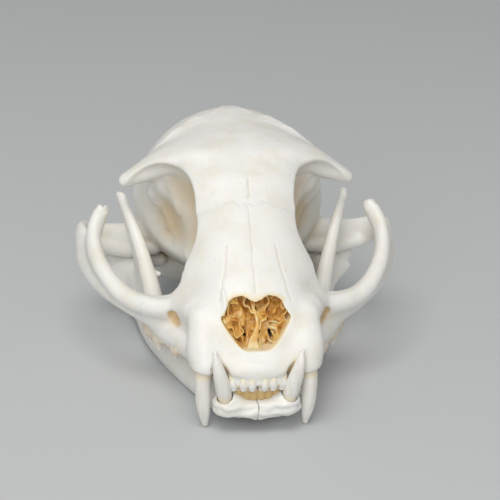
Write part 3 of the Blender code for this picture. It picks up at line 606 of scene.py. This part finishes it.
def dry_bone():
    """Cleaned bone: chalky white where it is thick and open, beige as painted shade in the hollows and
    creases, golden where it is thin enough for light to pass. It has a soft sheen and scatters a little
    light under its skin."""
    made, tree, shader = new_material("dry_bone")
    place = add_node(tree, "TexCoord").outputs["Object"]
    mottle = speckle(tree, place, 6, 4)
    grain = speckle(tree, place, 0.9, 5, 0.6)
    colour = mixed(tree, ranged(tree, mottle, 0.4, 0.75), BONE_WHITE, BONE_CREAM)
    # painted shade: beige in the hollows, the orbits and the creases
    colour = mixed(tree, ranged(tree, fact(tree, "hollow_shade"), 0.5, 0.76), colour, BONE_SHADE_BEIGE)
    colour = mixed(tree, ranged(tree, fact(tree, "crevice_shade"), 0.52, 0.86), colour, BONE_SHADE_BEIGE)
    # thin also carries painted shade: a gold tint in the notch where the lower canine fits
    thin = fact(tree, "thin")
    colour = mixed(tree, ranged(tree, thin, 0, 0.5), colour, THIN_CREAM)
    colour = mixed(tree, ranged(tree, thin, 0.5, 1), colour, THIN_GOLD_AND_SHADE)
    colour = mixed(tree, ranged(tree, fact(tree, "seam"), 0, 3.0), colour, BONE_TAN)
    tree.links.new(colour, shader.inputs["Base Color"])
    tree.links.new(ranged(tree, grain, -1.2, 2.6), shader.inputs["Roughness"])
    relief(tree, shader, grain, 0.25, 0.1)
    glow(shader, 0.25, (1.0, 0.75, 0.5), 1.2)
    return made


BONE = dry_bone()
CREASE = math.radians(40)    # edges sharper than this aren't smoothed over


def piece_of(name, points, faces, material, facts, slot, *nodes):
    """A piece of the skull, laid on the table in place of its nodes."""
    mesh = bpy.data.meshes.new(name)
    points = laid(points)
    points[:, 2] = np.maximum(points[:, 2], 0)
    mesh.from_pydata(points.tolist(), [], faces.tolist())
    mesh.shade_smooth()
    mesh.set_sharp_from_angle(angle=CREASE)
    mesh.materials.append(material)
    for key, values in facts.items():
        mesh.attributes.new(key, "FLOAT", "POINT").data.foreach_set("value", values.astype(np.float32))
    piece = bpy.data.objects.new(name, mesh)
    bpy.context.scene.collection.objects.link(piece)
    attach(piece, "root")
    if nodes:
        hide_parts(*nodes)
    return piece


SKIN_WAVES = ((0.05, 4.5), (0.018, 1.5), (0.01, 0.6))      # heights and sizes of bumps in the skin


def ramp(rise, run=1):
    """From 0 to 1 over a run, and held beyond both ends."""
    return np.clip(rise / run, 0, 1)


def beside(points, path, width):
    """How close each point is to a path: 1 on it, and fading over a half width."""
    return np.exp(-(gap_to(points, path, 3 * width) / width) ** 2)


def in_orbit(points):
    """How far each point is in an orbit, from 0 to 1. The wall there gets a beige tint as painted shade."""
    x, y, z = points.T
    return ramp(28.5 - z, 6) * ramp(57 - y, 6) * ramp(y - 27, 3) * ramp(20 - np.abs(x), 4)


def bone_piece(name, clay, seams=(), ridges=(), pores=(), thin=None, texture=None):
    """Skin the clay, weather it, and press in its sutures and holes."""
    points, quads = clay.surface()
    facing = outward(points, quads)
    lift = sum(height * noise(points, size) for height, size in SKIN_WAVES)
    seam = np.zeros(len(points))
    for path, depth, width in seams:
        groove = beside(points, path, width)
        seam = np.maximum(seam, groove)
        lift -= depth * groove
    for path, height, width in ridges:
        lift += height * beside(points, path, width)
    for spot, radius in pores:
        hole = np.exp(-(np.linalg.norm(points - spot, axis=1) / radius) ** 2)
        seam = np.maximum(seam, hole)
        lift -= 0.8 * radius * hole
    if texture is not None:
        lift += texture(points)
    # the first two facts carry painted shade: beige where bone lies close round a place
    facts = {"hollow_shade": sampled(wide_share, points) + 0.09 * in_orbit(points),
             "crevice_shade": sampled(close_share, points),
             "seam": seam,
             "thin": thin(points) if thin else np.zeros(len(points))}
    return piece_of(name, points + facing * lift[:, None], quads, BONE, facts, "bone", name)


# ---- canine teeth ----
# The four long stabbing teeth stand in deep sockets. Each is a curved cone, a little flattened, with
# glossy enamel on the crown and a duller neck of dentine at the edge of the bone.
CANINE_X, CANINE_Y = 10.6, 5.0
CANINE_TIP_Z = -11.2
JAW_CANINE_X, JAW_CANINE_Y = 6.3, 3.0
JAW_CANINE_TIP_Z = 5.6
SOCKET_GAP = 0.12
UPPER_SOCKET_Z, LOWER_SOCKET_Z = 0.2, -4.9     # where the bone ends and the neck shows
ENAMEL_WHITE, ENAMEL_SHADE, NECK_CREAM = "#f3f1ec", "#e4dfd8", "#efe6cf"


def upper_canine(**fineness):
    x, y, tip = CANINE_X, CANINE_Y, CANINE_TIP_Z
    stations = [(x - 0.4, y + 1.0, 3, 2.2, 1.8), (x, y, 0, 2.2, 1.72),
                (x + 0.1, y - 0.4, 0.35 * tip, 1.95, 1.6), (x - 0.1, y - 0.3, 0.7 * tip, 1.5, 1.35),
                (x - 0.45, y + 0.1, tip, 0.7, 0.65)]
    return bar(stations, flat=(0, 1, 0), **fineness)


def lower_canine(**fineness):
    x, y, tip = JAW_CANINE_X, JAW_CANINE_Y, JAW_CANINE_TIP_Z
    stations = [(x - 0.7, y + 1.1, -7.4, 1.9, 1.35), (x, y, -5, 2.1, 1.5),
                (x + 0.9, y - 1.4, -1, 1.8, 1.55), (x + 1.8, y - 2.1, 0.5 * tip, 1.15, 1.1),
                (x + 2.4, y - 1.7, tip, 0.5, 0.5)]
    return bar(stations, flat=(0, 1, 0), **fineness)


def tooth_enamel(name, neck_colour):
    """Enamel: hard and glossy, white with a little of the dentine showing through, and cream at the
    neck, where the dentine is bare."""
    made, tree, shader = new_material(name)
    place = add_node(tree, "TexCoord").outputs["Object"]
    stretched = add_node(tree, "Mapping", {"Vector": place}, {"Scale": (1, 1, 0.2)})
    streaks = speckle(tree, stretched.outputs["Vector"], 0.8, 3)
    neck = fact(tree, "neck")
    colour = mixed(tree, ranged(tree, streaks, 0.35, 0.8), ENAMEL_WHITE, ENAMEL_SHADE)
    colour = mixed(tree, ranged(tree, neck, 0, 1), colour, neck_colour)
    tree.links.new(colour, shader.inputs["Base Color"])
    tree.links.new(ranged(tree, neck, -0.45, 2.2), shader.inputs["Roughness"])
    relief(tree, shader, streaks, 0.1, 0.05)
    glow(shader, 0.3, (1.0, 0.8, 0.6), 1.0)
    return made


ENAMEL = tooth_enamel("tooth_enamel", NECK_CREAM)


def neck_of(points, gum, way, height):
    """1 on the root and the neck, 0 on the crown. Way is 1 for a tooth that points up, -1 for down."""
    return 1 / (1 + np.exp(((points[:, 2] - gum) * way - height) / 0.2))


def canine_piece(name, solid, side, gum, way):
    points, faces = solid
    neck = neck_of(points, gum, way, 1.1)
    facing = unit(points * (1, 1, 0) - (points[:, 0].mean(), points[:, 1].mean(), 0))
    points = points + facing * (0.03 * noise(points, 2.0) - 0.05 * neck)[:, None]
    if side < 0:
        points, faces = mirrored((points, faces))
    return piece_of(name, points, faces, ENAMEL, {"neck": neck}, "enamel", name)


SIDES = (1, "left"), (-1, "right")
FINE = {"sides": 96, "steps": 30}
for side, word in SIDES:
    canine_piece("upper_canine_" + word, upper_canine(**FINE), side, UPPER_SOCKET_Z, -1)
    canine_piece("lower_canine_" + word, lower_canine(**FINE), side, LOWER_SOCKET_Z, 1)


# ---- incisors and cheek teeth ----
# Six small pegs stand between the canines of each jaw. The cheek teeth are blades that slide past each
# other like scissors, the largest of them the upper carnassial with its three cusps in a row.
TOOTH_GRAIN, TOOTH_REACH = 0.125, 1.6
# each tooth: x, y, turn in degrees, length, width, height, and its cusps: place, height and length
THREE_CUSPS = ((-0.05, 1.0, 0.6), (-0.7, 0.45, 0.34), (0.66, 0.5, 0.42))
UPPER_CHEEK_TEETH = (
    (12.9, 12.6, 10, 1.6, 1.3, 1.3, ((0, 1, 1),)),
    (15.2, 17.6, 20, 5.6, 2.4, 2.8, THREE_CUSPS),
    (18.6, 25.4, 24, 10.2, 2.8, 3.9, ((-0.22, 1, 0.42), (-0.74, 0.42, 0.3), (0.55, 0.7, 0.5))),
    (18.0, 31.6, 70, 3.2, 1.8, 1.0, ((0, 1, 1),)))
LOWER_CHEEK_TEETH = (
    (9.2, 15.4, 20, 4.8, 1.9, 3.0, THREE_CUSPS),
    (11.6, 21.4, 20, 6.2, 2.2, 3.8, THREE_CUSPS),
    (14.4, 28.8, 21, 7.8, 2.3, 4.2, ((-0.42, 0.92, 0.56), (0.42, 1, 0.56))))
UPPER_GUM_Z, LOWER_GUM_Z = 0.5, -4.4
# each incisor of one side: x, y, half width, height
UPPER_INCISORS = ((1.25, 0.6, 0.78, 3.1), (2.95, 1.0, 0.82, 3.2), (4.85, 2.0, 0.98, 3.5))
LOWER_INCISORS = ((0.74, 2.4, 0.78, 3.9), (2.2, 2.6, 0.8, 4.0), (3.7, 3.1, 0.82, 4.0))
UPPER_INCISOR_GUM_Z, LOWER_INCISOR_GUM_Z = 0.4, -5.4


def cheek_teeth(clay, teeth, gum, way):
    """Add the crowns of one side."""
    for x, y, turn, length, width, height, cusps in teeth:
        row = np.array([math.sin(math.radians(turn)), math.cos(math.radians(turn)), 0])
        for place, tall, share in cusps:
            foot = np.array([x, y, gum]) + row * place * length / 2
            rise = np.array([0, 0, height * tall * way])
            half = length * share / 2
            cusp = [(*(foot - (0, 0, 1.2 * way)), half, 0.42 * width),
                    (*(foot + 0.25 * rise), 0.95 * half, 0.5 * width),
                    (*(foot + 0.70 * rise), 0.5 * half, 0.3 * width),
                    (*(foot + 0.97 * rise), 0.14 * half, 0.12 * width)]
            clay.add(bar(cusp, flat=row), 0.5)


def incisors(clay, teeth, gum, way):
    """Add the pegs of both sides."""
    for x, y, half, height in teeth:
        peg = [(x, y + 1.3, gum - way, half, half), (x, y, gum + 0.4 * height * way, half, 0.8 * half),
               (x, y + 0.1, gum + 0.8 * height * way, 0.8 * half, 0.6 * half)]
        clay.add(bar(peg, flat=(1, 0, 0)), 0.3, both=True)


# the lower incisors are tinted tan from the gum up, and the cheek teeth a warm cream, both as painted shade
SHADED_INCISOR_ENAMEL = tooth_enamel("shaded_incisor_enamel", "#d8ba80")
SHADED_CHEEK_ENAMEL = tooth_enamel("shaded_cheek_enamel", "#e3d8c6")


def tooth_piece(name, clay, gum, way, material, neck_height, side=1):
    points, quads = clay.surface()
    neck = neck_of(points, gum, way, neck_height)
    lift = 0.03 * noise(points, 1.4) + 0.012 * noise(points, 0.5)
    points = points + outward(points, quads) * lift[:, None]
    if side < 0:
        points, quads = mirrored((points, quads))
    return piece_of(name, points, quads, material, {"neck": neck}, "enamel")


for jaw_word, teeth, gum, way in (("upper", UPPER_CHEEK_TEETH, UPPER_GUM_Z, -1),
                                  ("lower", LOWER_CHEEK_TEETH, LOWER_GUM_Z, 1)):
    row = Clay((5, 10, -7), (24, 36, 3), TOOTH_GRAIN, TOOTH_REACH)
    cheek_teeth(row, teeth, gum, way)
    for side, word in SIDES:
        # the warm cream of the cheek teeth is painted shade
        tooth_piece(f"{jaw_word}_cheek_teeth_{word}", row, gum, way, SHADED_CHEEK_ENAMEL, 2.2, side)
for jaw_word, teeth, gum, way, material, neck_height in (
        ("upper", UPPER_INCISORS, UPPER_INCISOR_GUM_Z, -1, ENAMEL, 1.0),
        ("lower", LOWER_INCISORS, LOWER_INCISOR_GUM_Z, 1, SHADED_INCISOR_ENAMEL, 2.5)):
    row = Clay((-8, -1, -8), (8, 6, 3), TOOTH_GRAIN, TOOTH_REACH)
    incisors(row, teeth, gum, way)
    # the tan of the lower incisors is painted shade
    tooth_piece(jaw_word + "_incisors", row, gum, way, material, neck_height)


# ---- nasal opening and scroll bones ----
# The nose opens as a heart between the nasal bones and the upper jaw. Inside, sheets of bone as thin
# as paper roll up on both sides of the septum. Dried membrane makes them golden and translucent.
# The outline gives x and z of the opening's left half.
NOSE_OUTLINE = ((0, 13.3), (1.1, 13.6), (2.4, 14.2), (4.0, 14.0), (5.1, 13.3), (5.6, 12.3), (6.3, 11.3),
                (6.8, 10.5), (6.0, 9.1), (4.6, 7.2), (3.2, 5.8), (1.8, 5.2), (0, 5.1))


def nose_hollow():
    """The nasal passage as a solid that widens towards the back."""
    half = smooth_rows(NOSE_OUTLINE, 6)
    outline = np.vstack([half, half[-2:0:-1] * (-1, 1)])
    rings = [[(x * wider, y, 10 + (z - 10) * wider) for x, z in outline]
             for y, wider in ((-1, 1), (10, 1.02), (20, 1.15))]
    return loft(np.array(rings))


SCROLL_GRAIN, NOSE_REACH = 0.125, 6.0
# the brown is also painted shade deep in the nose, and the pale colour a painted highlight on free edges
SCROLL_GOLD, SCROLL_BROWN_AND_SHADE, SCROLL_CREAM_AND_HIGHLIGHT = "#e4b664", "#b67c30", "#f0daa8"
SHEET = 0.14                 # half the thickness of a scroll
MOUTH_Y, MOUTH_Z, MOUTH_LEAN = 3.3, 5.4, 0.66     # the slanting plane of the opening

nose = Clay((-8, 2, 1), (8, 20, 18), SCROLL_GRAIN, NOSE_REACH)
nose.add(nose_hollow(), 0.4)
scrolls = nose.like(nose.distance.copy())
inside_nose = nose.distance
x, y, z = (np.broadcast_to(line, inside_nose.shape) for line in scrolls.axes())
spots = np.stack([x, y, z], -1).reshape(-1, 3)


def sheet(values):
    """The skin where values pass through zero, given a thickness."""
    slopes = np.gradient(values, SCROLL_GRAIN)
    return np.abs(values) / (np.sqrt(sum(s ** 2 for s in slopes)) + 1e-3) - SHEET


def spread(size, shift, squeeze=(1, 1, 1)):
    """Smooth random values all over the block, squeezed along its axes."""
    return noise(spots * squeeze + shift, size).reshape(x.shape)


mouth = MOUTH_Y + MOUTH_LEAN * (z - MOUTH_Z)
start = mouth + 1.5 + 1.1 * spread(1.8, 31)
crumple = spread(2.6, 17, (1, 0.4, 0.7)) + 0.5 * spread(1.1, 5, (1, 0.5, 0.9))
sheets = np.maximum(sheet(crumple), start - y)
folds = 1 - 2.0 * np.abs(spread(1.9, 44, (1, 0.3, 0.6)) + 0.5 * spread(0.8, 8, (1, 0.4, 0.8)))
folds = np.maximum(folds, -0.1)
packed = mouth + 3.4 - 1.7 * folds + 0.5 * spread(0.6, 21, (1, 0.6, 1)) - y
packed = packed / np.sqrt(sum(s ** 2 for s in np.gradient(packed, SCROLL_GRAIN)))
sheets = np.minimum(sheets, packed)
for side in (-1, 1):
    cave = ((x - 2.6 * side - 0.3 + 0.3 * (z - 7)) / 0.5) ** 2 + ((z - 7.0) / 1.1) ** 2
    sheets = np.maximum(sheets, (0.8 - np.sqrt(cave) + 0.3 * crumple) * np.clip(mouth + 4.6 - y, -1, 1))
wobble = 0.4 * np.sin(0.6 * z + 0.3 * y) + 0.25 * spread(2.0, 50)
septum = np.abs(x + 0.2 - wobble) - 0.3 - 0.95 * ramp(9.5 - z, 4.5) ** 1.4
sheets = np.minimum(sheets, np.maximum(septum, mouth + 1.6 + 0.5 * spread(1.6, 70) - y))
sheets = np.maximum(sheets, inside_nose - 0.2)
scrolls.distance = np.maximum(sheets, mouth + 0.4 - y).astype(np.float32)


def scroll_bone():
    """Paper-thin bone under dried membrane: amber and slightly waxy, browned deeper in as painted shade,
    with a painted highlight along its free edges.
    """
    made, tree, shader = new_material("scroll_bone")
    place = add_node(tree, "TexCoord").outputs["Object"]
    stain = speckle(tree, place, 1.6, 4)
    pale = speckle(tree, place, 2.4, 3)
    # painted shade: browner the deeper a place lies in the nose
    colour = mixed(tree, ranged(tree, fact(tree, "depth"), 0, 1), SCROLL_GOLD, SCROLL_BROWN_AND_SHADE)
    colour = mixed(tree, ranged(tree, stain, 0.45, 0.8), colour, SCROLL_BROWN_AND_SHADE)
    colour = mixed(tree, ranged(tree, pale, 0.5, 0.85), colour, SCROLL_CREAM_AND_HIGHLIGHT)
    # painted highlight along the free edges of the sheets
    colour = mixed(tree, ranged(tree, fact(tree, "edge"), 0, 1), colour, SCROLL_CREAM_AND_HIGHLIGHT)
    tree.links.new(colour, shader.inputs["Base Color"])
    tree.links.new(ranged(tree, stain, -0.4, 1.6), shader.inputs["Roughness"])
    glow(shader, 0.6, (0.9, 0.65, 0.3), 1.2)
    return made


points, quads = scrolls.surface()
# depth is painted shade: browner the further a place lies behind the opening
depth = ramp(sampled(y - mouth, points, scrolls) - 1.6, 3.4)
# edge is a painted highlight along the free edges of the sheets, and cream on the foot of the septum
edge = np.exp(-(sampled(y - start, points, scrolls) / 0.25) ** 2) * ramp(0.3 + noise(points, 1.3))
edge = np.maximum(edge, ramp(7 - points[:, 2], 1.5) * (np.abs(points[:, 0]) < 1.8))
piece_of("nasal_turbinates", points, quads, scroll_bone(), {"depth": depth, "edge": edge},
         "scroll_bone", "nasal_turbinates")


# ---- bones of the cranium ----
# The bones part along their sutures, where the edge of one laps over the next. The lapped edge lies a
# hair lower, so that the line between two bones shows and nothing else does.
LAP = 0.8                    # how far one bone runs on beneath the next
SINK = 0.03                  # how much lower it lies there
JAW_CLEARANCE = 0.35         # between the jaws, and round an upper canine as it passes the lower jaw
BITE_GAP = 0.65              # round a lower canine as it passes the upper jaw

cranium, jaw = cranium.finer(), jaw.finer()
chin_margin = [(-3.6, 2.7, -6.0, 0.9, 1.2), (0, 2.2, -6.0, 0.9, 1.2), (3.6, 2.7, -6.0, 0.9, 1.2)]
jaw.add(bar(chin_margin), 1.2)
jaw.cut(lower_canine(), 0.3, both=True, grow=SOCKET_GAP)
jaw.cut(upper_canine(), 0.3, both=True, grow=JAW_CLEARANCE)
gum_ridge = [(-4.8, 2.3, -0.6, 0.8, 0.9), (0, 1.1, -0.8, 0.75, 0.8), (4.8, 2.3, -0.6, 0.8, 0.9)]
cranium.add(bar(gum_ridge), 1.0)
for between_teeth in (2.1, 3.9):
    centre = between_teeth, 1.0 + 0.05 * between_teeth ** 2, -1.3
    cranium.add(ellipsoid(centre, (0.6, 0.8, 0.7), segments=48), 0.5, both=True)
cranium.cut(nose_hollow(), 0.4)
infraorbital = bar([(15.5, 17.6, 6.4, 1.6, 1.4), (15.7, 18.9, 6.5, 1.3, 1.1)], flat=(0.2, 0, 1))
cranium.cut(infraorbital, 1.1, both=True)
cranium.cut(ear_hole, 0.8, both=True)
cranium.cut(upper_canine(), 0.3, both=True, grow=SOCKET_GAP)
cranium.cut(lower_canine(), 0.5, both=True, grow=BITE_GAP)
cranium.clear(jaw, JAW_CLEARANCE)


def wander(a, b):
    """The wavy course of a suture, in millimetres, from two coordinates along it."""
    return (0.45 * np.sin(1.3 * a + 0.9 * b) + 0.22 * np.sin(2.9 * a - 1.7 * b + 1)
            + 0.12 * np.sin(6.1 * a + 4.7 * b + 2))


def plane_height(clay, point, normal):
    """How far each place lies behind a wavy suture, which follows a plane that crosses the skull."""
    x, y, z = clay.axes()
    normal = unit(np.array(normal))
    height = (y - point[0]) * normal[0] + (z - point[1]) * normal[1]
    return (height + wander(np.abs(x), z)).astype(np.float32)


def over(clay, height):
    """The bone whose edge laps over, up to the suture."""
    return clay.like(np.maximum(clay.distance, height))


def under(clay, height):
    """The bone that runs on beneath, from its hidden edge."""
    sunk = clay.distance + np.where(height < 0, SINK, 0)
    return clay.like(np.maximum(sunk, -height - LAP).astype(np.float32))


# y and z of a point on each of the two planes, and of the direction that it faces
SNOUT_BACK = (26.5, 29.0), (29.0, 8.5)
BROW_BACK = (57.0, 38.0), (33.0, -7.0)
ARCH_ROOT_X, ARCH_TOP_Z, ARCH_BOTTOM_Z = 22.0, 24.2, 2.4

FACE = cranium.block((-25, -4, -10), (25, 36, 40))
MIDDLE = cranium.block((-30, 20, -10), (30, 64, 41))
REAR = cranium.block((-30, 48, -10), (30, 92, 41))


def arch_height(clay):
    """How far each place lies outside the cheekbones, which part from the cranium at their roots."""
    x, y, z = clay.axes()
    root = ARCH_ROOT_X - np.abs(x) + wander(y, z)
    return np.maximum(np.maximum(root, z - ARCH_TOP_Z), ARCH_BOTTOM_Z - z).astype(np.float32)


def seam_of(clay, path, depth, width, both=True):
    """A suture or vessel groove, laid on the skin, as (path, depth, half width)."""
    points, quads = clay.surface()
    laid_path = on_skin(points, quads, path)
    laid_path = laid_path + 0.18 * np.stack([noise(laid_path + shift, 1.3) for shift in (0, 40, 80)], 1)
    return [(laid_path * (side, 1, 1), depth, width) for side in ((1, -1) if both else (1,))]


def random_pores(clay, count, low, high, seed):
    """Tiny vessel holes, scattered over the skin between two corners."""
    points, _ = clay.surface()
    points = points[((points > low) & (points < high)).all(1)]
    dice = np.random.default_rng(seed)
    return [(points[i], dice.uniform(0.14, 0.24)) for i in dice.integers(0, len(points), count)]


def nose_lining(points):
    """Where the walls round the nasal opening are thin: cream at the nasal bones, golden below. A gold
    tint is also painted as shade in the notch where the lower canine fits, and a gold band runs along
    the bone above the incisors.
    """
    x, y, z = points.T
    width = 0.16 + 0.6 * ramp(z - 12.6) + 0.25 * noise(points, 1.5) * ramp(z - 12)
    near = np.exp(-(np.maximum(sampled(nose.distance, points, nose) - 0.05, 0) / width) ** 2)
    inside = ((points > (-8, 2.2, 1.2)) & (points < (8, 19.8, 17.8))).all(1)
    low = ramp(11.2 - z, 1.5) * ramp(0.8 + 0.6 * noise(points, 1.6))
    floor = ramp(7.4 - z, 1.5) * ramp(1.4 - np.abs(x) / 2.5)
    rim = near * inside * (0.5 + 0.5 * low * np.clip(0.5 - 0.25 * x, 0.2, 1)) * (1 - 0.75 * floor)
    # painted shade: a gold tint in the notch where the lower canine fits
    notch = np.exp(-((np.abs(x) - 7.7) / 1.0) ** 2 - ((z - 1.6) / 1.9) ** 2) * (y < 6)
    gum = np.exp(-((z + 1.7) / 0.6) ** 2) * (y < 4) * (np.abs(x) < 6)
    return np.maximum(np.maximum(rim, 0.75 * notch), 0.5 * gum)


nasal_spike = bar([(-6.3, 11.0, 14.6, 1.0, 0.5), (-6.1, 9.2, 12.6, 0.8, 0.45), (-6.4, 7.9, 11.0, 0.3, 0.2)])
FACE.add(nasal_spike, 0.6)
snout = over(under(FACE, arch_height(FACE)), plane_height(FACE, *SNOUT_BACK))
internasal = [(0, 9.4, 15), (0, 16, 20.5), (0, 24, 26.5), (0, 27, 28.5)]
nasomaxillary = [(6.9, 10.2, 12.6), (6.4, 11.6, 15.0), (5.6, 14.5, 18.0), (4.9, 18.5, 22.0)]
crease_above_incisors = [(-0.9, 0.4, 1.5), (-0.3, 0.3, 1.35), (0.4, 0.3, 1.5)]
palate_midline = [(0, 5, -0.6), (0, 18, 1), (0, 31, 1)]
seams = (seam_of(snout, internasal, 0.12, 0.18, both=False)
         + seam_of(snout, nasomaxillary, 0.12, 0.22)
         + seam_of(snout, crease_above_incisors, 0.06, 0.14, both=False)
         + seam_of(snout, palate_midline, 0.15, 0.2, both=False))
pores = random_pores(snout, 60, (-20, 2, 0), (20, 26, 20), 3)
bone_piece("snout", snout, seams, pores=pores, thin=nose_lining)

brow = over(under(under(MIDDLE, arch_height(MIDDLE)), plane_height(MIDDLE, *SNOUT_BACK)),
            plane_height(MIDDLE, *BROW_BACK))
forehead_groove = [(0.4, 27.4, 28.8), (0.5, 29, 29.8), (0.7, 31.4, 31.2)]
seams = seam_of(brow, forehead_groove, 0.3, 0.22, both=False)
temple_edge = [(20, 49.8, 29.5), (15, 54, 33), (9, 58, 36.5), (4, 61, 37.8), (1.4, 66, 37.5), (0.9, 75, 33)]
ridges = seam_of(brow, temple_edge[:4], 0.22, 0.8)
wall_folds = (seam_of(brow, [(18.2, 52.7, 23.5), (16.4, 53.2, 18), (14.9, 53.2, 14)], 0.5, 1.1)
              + seam_of(brow, [(15.2, 46, 27), (13.8, 46.6, 23), (12.5, 47.8, 18.9)], 0.5, 0.9))
ridges += wall_folds
vessel_holes = [((7.3, 34.5, 30.6), 0.3), ((8.5, 35.2, 29.9), 0.24)]
pores = random_pores(brow, 50, (-16, 28, 24), (16, 56, 40), 5) + vessel_holes
bone_piece("brow", brow, seams, ridges, pores)

braincase = under(under(REAR, arch_height(REAR)), plane_height(REAR, *BROW_BACK))
ridges = wall_folds + seam_of(braincase, temple_edge[3:], 0.22, 0.8)
seams = seam_of(braincase, [(20, 57, 16), (19.6, 62, 23), (18.6, 69, 25), (17, 76, 20)], 0.1, 0.2)
pores = random_pores(braincase, 60, (-22, 56, 2), (22, 88, 38), 8)
bone_piece("braincase", braincase, seams, ridges, pores)


def ragged(tip, depth):
    """The broken, spongy look of a thin process near its free tip."""
    def texture(points):
        near = np.exp(-(np.linalg.norm(points - tip, axis=1) / 2.2) ** 2)
        return depth * near * (noise(points, 0.9) + 0.6 * noise(points, 0.45) - 0.2)
    return texture


def wrinkled_chin(points):
    """The wavy furrows of the chin, where the gum was tied down."""
    x, y, z = points.T
    front = ramp(9 - y, 4) * ramp(-4.8 - z, 0.8) * ramp(np.abs(x) / 0.5 - 0.1)
    wave = z + 0.7 * noise(points * (1, 1, 0.3), 2.0)
    return front * (0.15 * np.sin(3.1 * wave) + 0.14 * noise(points * (0.5, 0.6, 1), 0.9))


def half_of(clay, low, high, side):
    """The block between two corners on one side. The corners are those of the left side."""
    if side < 0:
        low, high = (-high[0], *low[1:]), (-low[0], *high[1:])
    return clay.block(low, high)


for side, word in SIDES:
    cheek = half_of(cranium, (20, 14, -2), (38, 72, 27), side)
    if side < 0:
        broken_off = ellipsoid((-28.7, 46.4, 21.9), (0.5, 2.5, 0.9), segments=32)
        cheek.cut(broken_off, 0.4)
    cheek = over(cheek, arch_height(cheek))
    bone_piece("zygomatic_arch_" + word, cheek, texture=ragged((28.6 * side, 46.2, 21.2), 0.22))
    bulla = half_of(bullae, (0, 56, -9), (22, 86, 12), side).finer()
    x, y, z = bulla.axes()
    bulla.trim(0.2 - x * side)
    bone_piece("auditory_bulla_" + word, bulla)
    mandible = half_of(jaw, (-1, -3, -15), (32, 70, 25), side)
    if side < 0:
        spur = bar([(-18.4, 43.6, 6.7, 0.7, 0.6), (-16.9, 43.3, 6.4, 0.55, 0.5)])
        mandible.add(spur, 0.7)
    x, y, z = mandible.axes()
    mandible.trim(0.02 - x * side + side * 0.25 * wander(y, z))
    tip = ragged((24.6 * side, 54.2, 21.2), 0.3)
    bone_piece("mandible_" + word, mandible, texture=lambda points: tip(points) + wrinkled_chin(points))


# ---- table, lights and camera ----
# A plain pale table under two wide soft lamps, seen by a camera with a long lens from a little above.
TABLE_GREY, STUDIO_WHITE = "#c9ccce", "#f2f2f2"
TABLE_SIDE = 6.0             # metres
TARGET = (0, 38, 12)         # what the camera and the lamps face, in skull axes

table_mesh = bpy.data.meshes.new("table")
bm = bmesh.new()
bmesh.ops.create_grid(bm, x_segments=1, y_segments=1, size=TABLE_SIDE / 2)
bm.to_mesh(table_mesh)
bm.free()
table = bpy.data.objects.new("table", table_mesh)
bpy.context.scene.collection.objects.link(table)
# Matt board shows the shadow and no highlight.
matt_board, _, shader = new_material("matt_board")
shader.inputs["Base Color"].default_value = linear(TABLE_GREY)
shader.inputs["Roughness"].default_value = 0.85
table_mesh.materials.append(matt_board)


def away_from_target(azimuth, elevation):
    """The direction seen from the target, by angles in degrees: 0, 0 is straight in front of it."""
    a, e = math.radians(azimuth), math.radians(elevation)
    return Vector((math.sin(a) * math.cos(e), -math.cos(a) * math.cos(e), math.sin(e)))


def soft_lamp(name, azimuth, elevation, distance, size, power, colour):
    """A round lamp that faces the target, with its distance and size in metres and power in watts."""
    data = bpy.data.lights.new(name, "AREA")
    data.shape, data.size, data.energy = "DISK", size, power
    data.color = linear(colour)[:3]
    lamp = bpy.data.objects.new(name, data)
    away = away_from_target(azimuth, elevation)
    lamp.location = Vector(laid(TARGET)) + away * distance
    lamp.rotation_mode = "QUATERNION"
    lamp.rotation_quaternion = away.to_track_quat("Z", "Y")
    bpy.context.scene.collection.objects.link(lamp)


soft_lamp("overhead_lamp", -20, 64, 0.7, 0.45, 2.1, "#fffdf8")
soft_lamp("front_lamp", -14, 27, 0.9, 0.5, 2.3, "#fdfcfa")

world = bpy.data.worlds.new("studio")
bpy.context.scene.world = world
world.use_nodes = True
world.node_tree.nodes["Background"].inputs["Color"].default_value = linear(STUDIO_WHITE)
world.node_tree.nodes["Background"].inputs["Strength"].default_value = 0.42
bpy.context.scene.view_settings.view_transform = "Standard"

CAMERA_AZIMUTH, CAMERA_ELEVATION, CAMERA_ROLL = -6.38, 20.61, 1.0     # in skull axes, in degrees
CAMERA_DISTANCE, LENS, SENSOR = 418.2, 141.44, 36.0      # millimetres
SHIFT_X, SHIFT_Y = 0.0201, 0.0131

azimuth, roll = math.radians(CAMERA_AZIMUTH), math.radians(CAMERA_ROLL)
back = away_from_target(CAMERA_AZIMUTH, CAMERA_ELEVATION)
right = Vector((math.cos(azimuth), math.sin(azimuth), 0))
up = back.cross(right)
turned_right = right * math.cos(roll) + up * math.sin(roll)
turned_up = up * math.cos(roll) - right * math.sin(roll)
camera = bpy.data.objects.new("camera", bpy.data.cameras.new("camera"))
camera.matrix_world = (Matrix(TIP) @ Matrix((turned_right, turned_up, back)).transposed()).to_4x4()
camera.location = laid(np.array(TARGET) + np.array(back) * CAMERA_DISTANCE)
camera.data.lens, camera.data.sensor_width = LENS, SENSOR
camera.data.shift_x, camera.data.shift_y = SHIFT_X, SHIFT_Y
camera.data.clip_start = 0.01
bpy.context.scene.collection.objects.link(camera)
bpy.context.scene.camera = camera
